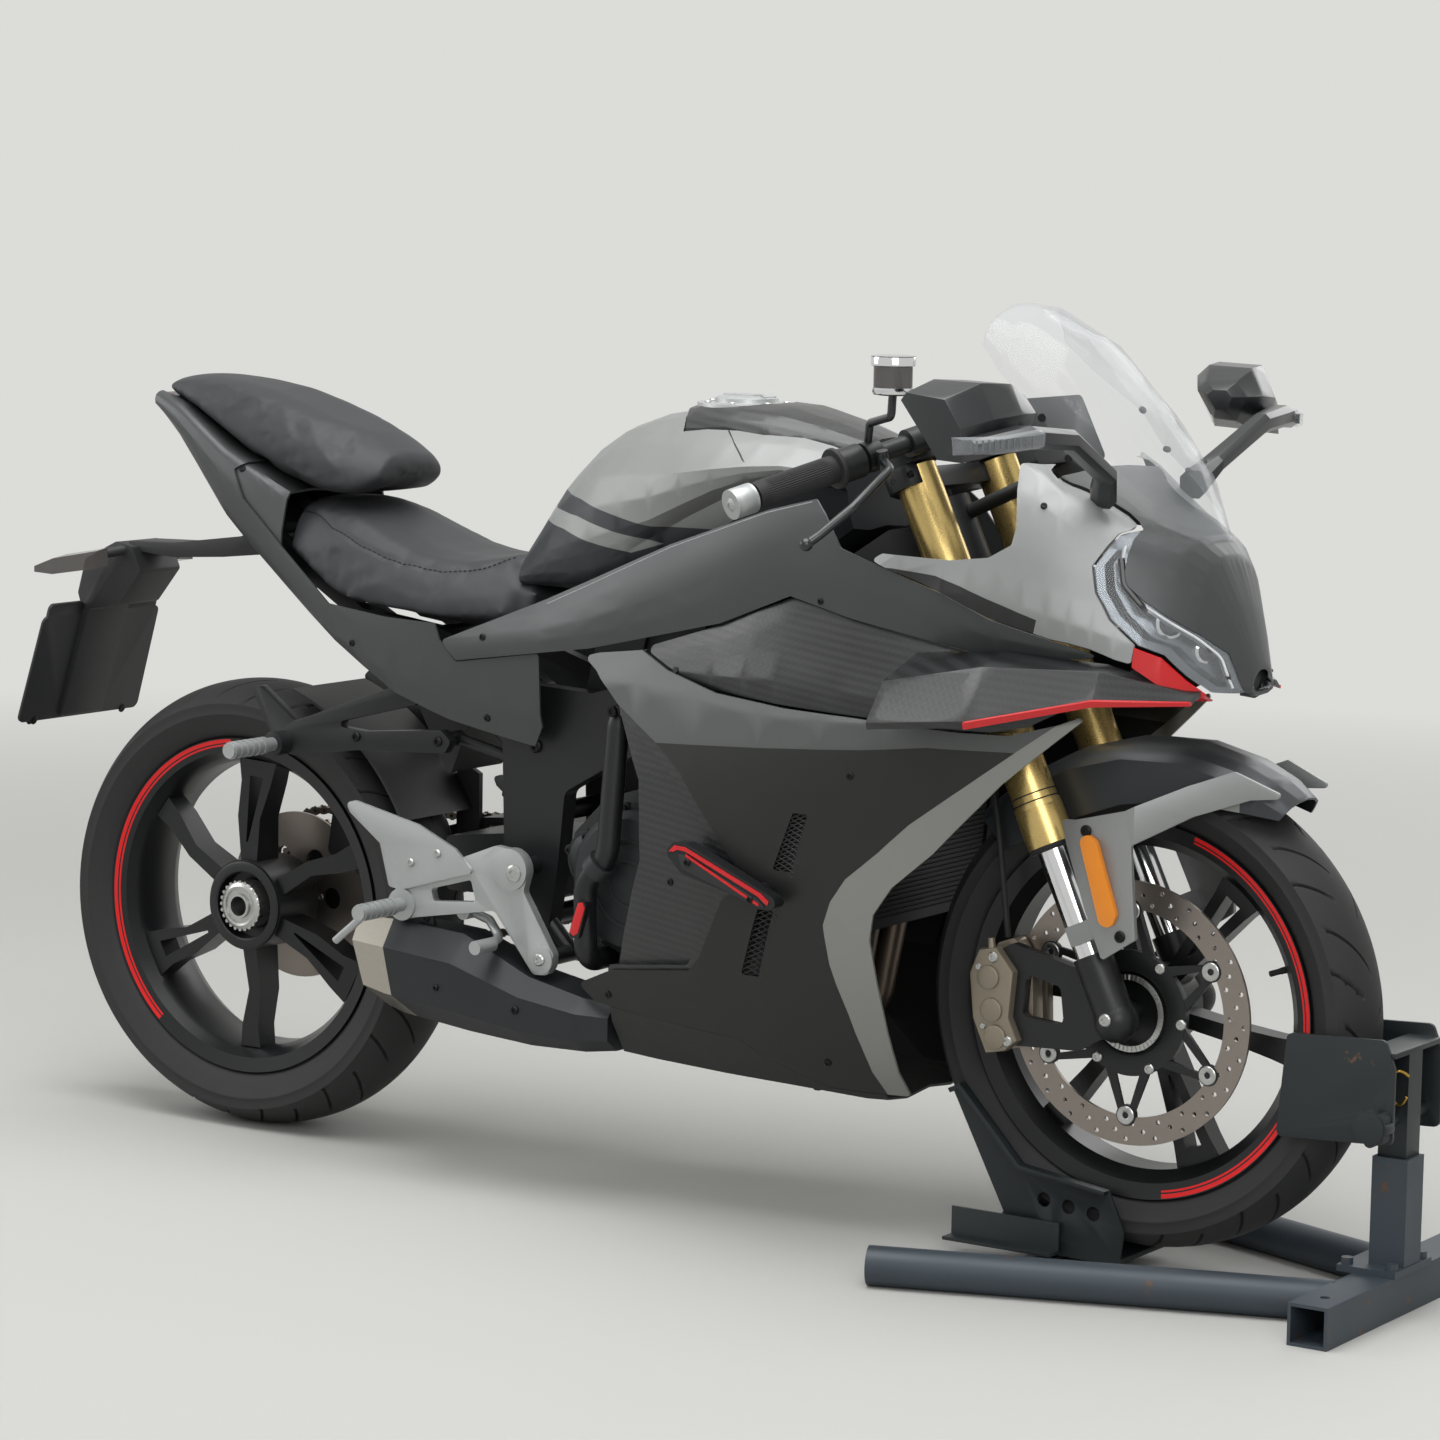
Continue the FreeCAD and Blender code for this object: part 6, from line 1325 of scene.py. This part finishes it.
@dataclass
class FrontEnd(Group):
    """Fork, bars, mudguard, caliper and the guards over the fork feet."""

    finishes: dict[str, tuple[Finish, Edge]] = field(default_factory=lambda: {
        "fork_tubes": (GOLD, Edge.SOFT), "fork_sliders": (CHROME, Edge.SOFT),
        "fork_feet": (FRAME_BLACK, Edge.SOFT), "triple_clamps": (FRAME_BLACK, Edge.BROKEN),
        "handlebars": (FRAME_BLACK, Edge.SOFT),
        "bar_metalwork": (SMOOTH_BLACK, Edge.SOFT), "front_mudguard": (GUARD_PAINT, Edge.SOFT),
        "guard_plates": (SILVER, Edge.BROKEN), "reflectors": (AMBER, Edge.BROKEN),
        "front_caliper": (CALIPER, Edge.BROKEN)})
    leg_side: float = 98.0
    bracket_side: float = -106.0
    hose_route: tuple = ((136, -80, -112), (180, -80, -98), (300, -76, -62), (420, -68, -46),
                         (482.7, -66, -40))
    grip_radius: float = 16.2
    grip_ribs: int = 40

    def build(self) -> None:
        """Add grips, bar ends, fork rings, screws, the fluid cup and the brake hose."""
        self.hose()
        self.repaint("bar_metalwork", ALLOY, lambda at: abs(at.y) > 0.3485)
        self.repaint("bar_metalwork", SMOKED_CUP, lambda at: at.z > 1.0565)
        self.grips()
        self.fork_rings()
        self.front_screws()
        self.fluid_cup()

    def hose(self) -> None:
        """Brake hose that hangs from the lower clamp in one gentle curve down to the caliper."""
        route = [on_fork(*place) for place in self.hose_route]
        data = bpy.data.curves.new("brake_hose_line", "CURVE")
        data.dimensions = "3D"
        line = data.splines.new("NURBS")
        line.points.add(len(route) - 1)
        for spot, point in zip(line.points, reversed(route)):
            spot.co = (*point, 1.0)
        line.order_u = 3
        line.use_endpoint_u = True
        piece = bpy.data.objects.new("brake_hose_line", data)
        bpy.context.scene.collection.objects.link(piece)
        bare = piece.evaluated_get(bpy.context.evaluated_depsgraph_get()).to_mesh()
        data.bevel_depth = 0.004
        data.bevel_resolution = 3
        data.use_fill_caps = True
        data.materials.append(RUBBER.make())
        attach(piece, "front_end")
        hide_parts("brake_hose")

    def grips(self) -> None:
        """Grips with ribs along them, a flange at the inner end, and slotted bar ends."""
        rubber, metal = bmesh.new(), bmesh.new()
        for side in SIDES:
            inner, outer = work(1102, side * 128, 998), work(1007, side * 350, 934)
            along = (outer - inner).normalized()
            flange = outer - along * 0.122
            before = set(rubber.verts)
            profile = [(11.2, 2), (self.grip_radius + 0.6, 2), (self.grip_radius + 0.6, 8)]
            profile += [(self.grip_radius, 10 + 10 * i) for i in range(11)]
            profile += [(self.grip_radius - 0.6, 117.5), (11.2, 117.5)]
            spun(rubber, profile, flange, along, self.grip_ribs * 2)
            fresh = [vert for vert in rubber.verts if vert not in before]
            bmesh.ops.remove_doubles(rubber, verts=fresh, dist=0.000002)
            out = along.orthogonal().normalized()
            for vert in rubber.verts:
                away = vert.co - flange
                reach = away - along * away.dot(along)
                if vert in before or not 0.0095 < away.dot(along) < 0.115 or reach.length < 0.014:
                    continue
                turn = math.atan2(reach.dot(along.cross(out)), reach.dot(out)) / math.tau * self.grip_ribs * 2
                if round(turn) % 2:
                    vert.co += reach.normalized() * 0.0009
            spun(rubber, [(11.2, -2), (24, -2), (25, -1), (25, 2), (24, 3.4), (17, 3.6), (11.2, 3.6)],
                 flange, along, 56)
            spun(metal, [(0, 31.2), (7, 31.2), (8, 30.0), (17.0, 28.5), (18.2, 25), (18.2, 4), (16.5, 1.0),
                         (0, 1.0)], outer, along, 48)
            screw(metal, outer + along * 0.0302, along, 6.0, 2.0)
        piece = self.add_piece("ribbed_grips", rubber, "front_end", RUBBER, "grip_rubber", 50.0)
        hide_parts("grips")
        self.add_piece("bar_end_weights", metal, "front_end", ALLOY, "silver_alloy")

    def fork_rings(self) -> None:
        """Turned grooves and dust seals on the fork, its top caps and its adjusters."""
        gold, seals, caps = bmesh.new(), bmesh.new(), bmesh.new()
        for side in SIDES:
            foot = on_fork(0, side * self.leg_side)
            for up in (272, 281):
                spun(seals, [(27.9, up), (27.9, up + 1.6), (27.2, up + 1.6), (27.2, up)], foot, UP_FORK, 56)
            spun(gold, [(29.4, 221), (29.4, 262), (28.6, 267), (27.6, 267), (27.6, 221)], foot, UP_FORK, 56)
            spun(seals, [(26.5, 212), (28.8, 214), (28.8, 219), (20.4, 219), (20.4, 212)], foot, UP_FORK, 56)
            spun(caps, [(0, 728), (9, 728), (10, 727), (10, 722.5), (21, 722.5), (23, 721), (0, 721)], foot,
                 UP_FORK, 32)
        self.add_piece("fork_collars", gold, "front_end", GOLD, "gold")
        self.add_piece("fork_dust_seals", seals, "front_end", RUBBER, "grip_rubber")
        self.add_piece("fork_caps", caps, "front_end", ALLOY, "silver_alloy")

    def front_screws(self) -> None:
        """Screws of the guard plates, fork feet, clamps, caliper and controls."""
        black, bright = bmesh.new(), bmesh.new()
        for side in SIDES:
            for x, z in ((1343, 549), (1392, 428)):
                spot, facing = self.beside("guard_plates", side, x, z)
                screw(black, spot, facing, 7.0, 3.0)
            screw(bright, on_fork(0, side * 122.6), SIDEWAYS * side, 8.0, 4.0)
            for up in (496, 690):
                for ahead in (-20, 20):
                    screw(black, on_fork(up, side * 130, ahead * 0.6), SIDEWAYS * side, 4.5, 4.0)
            for height in (30, 60):
                screw(black, on_fork(height, side * self.leg_side, -24.5), -AHEAD, 4.5, 4.0)
        face = self.bracket_side
        body = bmesh.new()
        slab(body, [on_fork(up, face + 1, ahead)
                    for up, ahead in ((128, -110), (134, -134), (112, -158), (60, -176), (14, -176),
                                      (8, -150), (14, -128), (44, -128), (92, -100))],
             Vector((0, -0.013, 0)), 0.004)
        for up, ahead in ((98, -134), (60, -146), (28, -154)):
            spun(body, [(0, -4), (13, -4), (14.5, -3), (14.5, 0), (0, 0)],
                 on_fork(up, face - 12, ahead), SIDEWAYS, 32)
        for up, ahead in ((118, -118), (18, -140)):
            screw(bright, on_fork(up, face - 11, ahead), -SIDEWAYS, 6.5, 4.0)
        for up, ahead in ((114, -142), (46, -165)):
            screw(bright, on_fork(up, face - 11, ahead), -SIDEWAYS, 4.0, 3.0)
        rod(body, on_fork(128, face - 5, -120), on_fork(141, face - 5, -116), 5.0, 4.0, 14)
        self.add_piece("caliper_body_ribs", body, "front_end", CALIPER, "caliper_bronze")
        self.add_piece("front_black_screws", black, "front_end", BLACK_BOLT, "black_alloy")
        self.add_piece("front_bright_screws", bright, "front_end", BOLT_STEEL, "silver_alloy")

    def fluid_cup(self) -> None:
        """Chrome lid and base ring on the brake fluid cup."""
        rings, up = bmesh.new(), Vector((0, 0, 1))
        middle = work(1134, -248, 0)
        for ring in (((0, 1102), (20, 1102), (25.5, 1101), (26.5, 1099), (26.5, 1090), (24.5, 1089),
                      (23.2, 1089), (0, 1089.5)),
                     ((0, 1055), (17, 1055), (23.2, 1057), (24.2, 1059), (24.2, 1064), (22, 1064.5),
                      (0, 1064.5))):
            spun(rings, list(ring), middle, up, 48)
        self.add_piece("fluid_cup_rings", rings, "front_end", CHROME, "chrome_tube")


@dataclass
class Chock(Group):
    """The steel stand that holds the front tyre."""

    finishes: dict[str, tuple[Finish, Edge]] = field(default_factory=lambda: {
        "chock_base": (STAND_PAINT, Edge.SOFT), "chock_head": (CRADLE_PAINT, Edge.BROKEN),
        "chock_cradle": (CRADLE_PAINT, Edge.BROKEN)})

    def build(self) -> None:
        """Add the brass-plated clip and weld beads."""
        clip = drawn([work(1717, -26, 286), work(1709, -34, 296), work(1700, -36, 286), work(1694, -30, 262),
                      work(1709, -28, 246), work(1717, -30, 262)], 1.6)
        self.add_piece("chock_clip", clip, "front_end", CLIP_BRASS, "gold")
        welds = bmesh.new()
        for side in SIDES:
            for i in range(7):
                rod(welds, work(1668, side * (66 + 6 * i), 46 + 0.2 * i),
                    work(1666, side * (68 + 6 * i), 49), 3.2, 2.6, 8)
        self.add_piece("chock_welds", welds, "front_end", STAND_PAINT, "stand_steel")


@dataclass
class Seats(Group):
    """Rider's and passenger's seats: foam under a stretched vinyl cover."""

    voxel: float = 0.006
    swell: float = 0.006
    seam: tuple = ((118, 74), (143, 83), (186, 102), (244, 111), (312, 113), (375, 108), (426, 92), (467, 62))

    def build(self) -> None:
        """Pad each seat from its drawn shape, then sew the rider's."""
        rider = self.pad("rider_seat")
        self.pad("pillion_seat")
        self.sew(rider)

    def pad(self, node: str) -> bpy.types.Object:
        """Blow a slightly smaller copy of a drawn seat up under its cover.

        Args:
            node: The drawn seat.

        Returns:
            The padded piece.
        """
        source = self.frame["nodes"][node]
        mesh = bmesh.new()
        mesh.from_mesh(source.data)
        bmesh.ops.remove_doubles(mesh, verts=mesh.verts, dist=0.00005)
        piece = self.add_piece(node + "_cover", mesh, "chassis", SEAT_VINYL, "seat_cloth", 60.0)
        remesh = piece.modifiers.new("remesh", "REMESH")
        remesh.mode = "VOXEL"
        remesh.voxel_size = self.voxel
        remesh.use_smooth_shade = True
        soften = piece.modifiers.new("soften", "SMOOTH")
        soften.iterations = 6
        self.apply(piece)
        self.inflate(piece)
        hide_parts(node)
        return piece

    def inflate(self, piece: bpy.types.Object) -> None:
        """Let the cover swell as cloth over foam for twenty frames, then keep each point near its start.

        Args:
            piece: The cover before it is filled.
        """
        rest = [v.co.copy() for v in piece.data.vertices]
        cloth = piece.modifiers.new("cloth", "CLOTH")
        cloth.settings.use_pressure = True
        cloth.settings.uniform_pressure_force = 4.0
        cloth.settings.effector_weights.gravity = 0.0
        cloth.settings.quality = 5
        for step in range(1, 21):
            bpy.context.scene.frame_set(step)
        self.apply(piece)
        bpy.context.scene.frame_set(1)
        for vertex, start in zip(piece.data.vertices, rest):
            way = vertex.co - start
            if way.length > self.swell:
                vertex.co = start + way.normalized() * self.swell
        finer = piece.modifiers.new("finer", "SUBSURF")
        finer.levels = 1
        finer.render_levels = 1
        self.apply(piece)
        for face in piece.data.polygons:
            face.use_smooth = True

    def sew(self, piece: bpy.types.Object) -> None:
        """Press a seam into the cover's top and lay its stitches along it.

        Args:
            piece: The padded cover.
        """
        skin = BVHTree.FromPolygons([v.co for v in piece.data.vertices],
                                    [tuple(face.vertices) for face in piece.data.polygons])
        stitches = bmesh.new()
        for side in SIDES:
            line = []
            for (ax, ay), (bx, by) in zip(self.seam, self.seam[1:]):
                for i in range(8):
                    x, y = ax + (bx - ax) * i / 8, ay + (by - ay) * i / 8
                    spot, facing, _, _ = skin.ray_cast(work(x, side * y, 1200), Vector((0, 0, -1)))
                    line.append((spot, facing))
            for vert in piece.data.vertices:
                near = min((vert.co - spot).length for spot, _ in line)
                if near < 0.007:
                    vert.co -= vert.normal * (0.0016 * (1 - near / 0.007))
            for (start, facing), (end, _) in zip(line, line[1:]):
                way = end - start
                rod(stitches, start + way * 0.15 - facing * 0.0006, start + way * 0.75 - facing * 0.0006, 0.7,
                    sides=6)
        self.add_piece("seat_stitches", stitches, "chassis", STITCH, "seat_cloth")


@dataclass
class Studio:
    """Pale floor, soft lights and the camera at the photograph's place."""

    eye: Vector = field(default_factory=lambda: work(3846.25, -4695.95, 1326.36))
    yaw: float = 33.5156
    pitch: float = 7.1815
    roll: float = 0.9856
    focal_pixels: float = 4462.54
    frame_pixels: float = 1440.0
    pale: str = "dcdcd9"
    ground: str = "b9b9b6"

    def camera(self) -> None:
        """Set the camera where the photograph was taken from."""
        yaw, pitch, roll = (math.radians(a) for a in (self.yaw, self.pitch, self.roll))
        look = Vector((-math.sin(yaw) * math.cos(pitch), math.cos(yaw) * math.cos(pitch), -math.sin(pitch)))
        right = Vector((math.cos(yaw), math.sin(yaw), 0.0))
        up = right.cross(look)
        turned = right * math.cos(roll) + up * math.sin(roll)
        above = up * math.cos(roll) - right * math.sin(roll)
        data = bpy.data.cameras.new("camera")
        data.sensor_width = 36.0
        data.lens = self.focal_pixels / self.frame_pixels * 36.0
        data.clip_end = 200.0
        eye = bpy.data.objects.new("camera", data)
        bpy.context.scene.collection.objects.link(eye)
        eye.matrix_world = Matrix.Translation(self.eye) @ Matrix((turned, above, -look)).transposed().to_4x4()
        bpy.context.scene.camera = eye

    def lamp(self, name: str, place: Vector, size: float, power: float, aim: Vector) -> None:
        """A soft square lamp.

        Args:
            name: Its name.
            place: Where it hangs, in metres.
            size: Its side, in metres.
            power: Its power, in watts.
            aim: The point it faces.
        """
        data = bpy.data.lights.new(name, "AREA")
        data.size = size
        data.energy = power
        lamp = bpy.data.objects.new(name, data)
        bpy.context.scene.collection.objects.link(lamp)
        lamp.location = place
        lamp.rotation_mode = "QUATERNION"
        lamp.rotation_quaternion = (aim - place).to_track_quat("-Z", "Y")

    def floor(self) -> None:
        """A wide round floor whose far rim takes the background's shade."""
        mesh = bmesh.new()
        bmesh.ops.create_circle(mesh, cap_ends=True, segments=96, radius=60.0)
        data = bpy.data.meshes.new("floor")
        mesh.to_mesh(data)
        mesh.free()
        floor = bpy.data.objects.new("floor", data)
        bpy.context.scene.collection.objects.link(floor)
        made = bpy.data.materials.new("pale_floor")
        made.use_nodes = True
        tree = made.node_tree
        base = tree.nodes["Principled BSDF"]
        base.inputs["Base Color"].default_value = linear(self.ground)
        base.inputs["Roughness"].default_value = 0.75
        where = add(tree, "TexCoord").outputs["Object"]
        reach = add(tree, "VectorMath", {0: where}, operation="LENGTH")
        far = add(tree, "MapRange", {"Value": reach.outputs["Value"], "From Min": 1.6, "From Max": 5.5})
        glow = add(tree, "Emission", {"Color": linear(self.pale)})
        seen = add(tree, "LightPath")
        looked = add(tree, "Math", {0: seen.outputs["Is Camera Ray"], 1: seen.outputs["Is Glossy Ray"]},
                     operation="ADD")
        through = add(tree, "Math", {0: looked.outputs[0], 1: seen.outputs["Is Transmission Ray"]},
                      operation="ADD", use_clamp=True)
        share = add(tree, "Math", {0: far.outputs[0], 1: through.outputs[0]}, operation="MULTIPLY")
        mix = add(tree, "MixShader", {0: share.outputs[0], 1: base.outputs[0], 2: glow.outputs[0]})
        tree.links.new(mix.outputs[0], tree.nodes["Material Output"].inputs["Surface"])
        data.materials.append(made)

    def sky(self) -> None:
        """An even pale world: the background is its full shade, the light a part of it."""
        world = bpy.data.worlds.new("studio")
        bpy.context.scene.world = world
        world.use_nodes = True
        tree = world.node_tree
        back = tree.nodes["Background"]
        back.inputs["Color"].default_value = linear(self.pale)
        seen = add(tree, "LightPath")
        looked = add(tree, "Math", {0: seen.outputs["Is Camera Ray"], 1: seen.outputs["Is Glossy Ray"]},
                     operation="ADD")
        through = add(tree, "Math", {0: looked.outputs[0], 1: seen.outputs["Is Transmission Ray"]},
                      operation="ADD", use_clamp=True)
        strength = add(tree, "MapRange", {"Value": through.outputs[0], "To Min": 0.42, "To Max": 1.0})
        tree.links.new(strength.outputs[0], back.inputs["Strength"])

    def build(self) -> None:
        """Floor, world and lamps."""
        self.floor()
        self.sky()
        self.lamp("overhead", Vector((0.3, -0.6, 3.6)), 3.2, 150.0, Vector((0.0, 0.0, 0.4)))
        self.lamp("camera_side", Vector((3.2, -3.4, 2.4)), 2.2, 60.0, Vector((0.1, 0.0, 0.6)))
        self.lamp("rear_side", Vector((-3.4, -1.6, 2.2)), 2.0, 40.0, Vector((-0.2, 0.0, 0.6)))
        self.lamp("far_side", Vector((0.5, 4.0, 2.6)), 2.4, 40.0, Vector((0.0, 0.0, 0.6)))
        bpy.context.scene.view_settings.view_transform = "Standard"


def main() -> None:
    """Load the drawn frame, then build the camera, each sub-assembly and the studio."""
    logging.basicConfig(level=logging.INFO, format="%(name)s: %(message)s")
    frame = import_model()
    studio = Studio()
    studio.camera()
    for kind in (FrontEnd, Wheels, RunningGear, Bodywork, Chock, Seats):
        group = kind(frame)
        group.dress()
        group.build()
    studio.build()
    LOG.info("boxes kept")


if __name__ == "__main__":
    main()
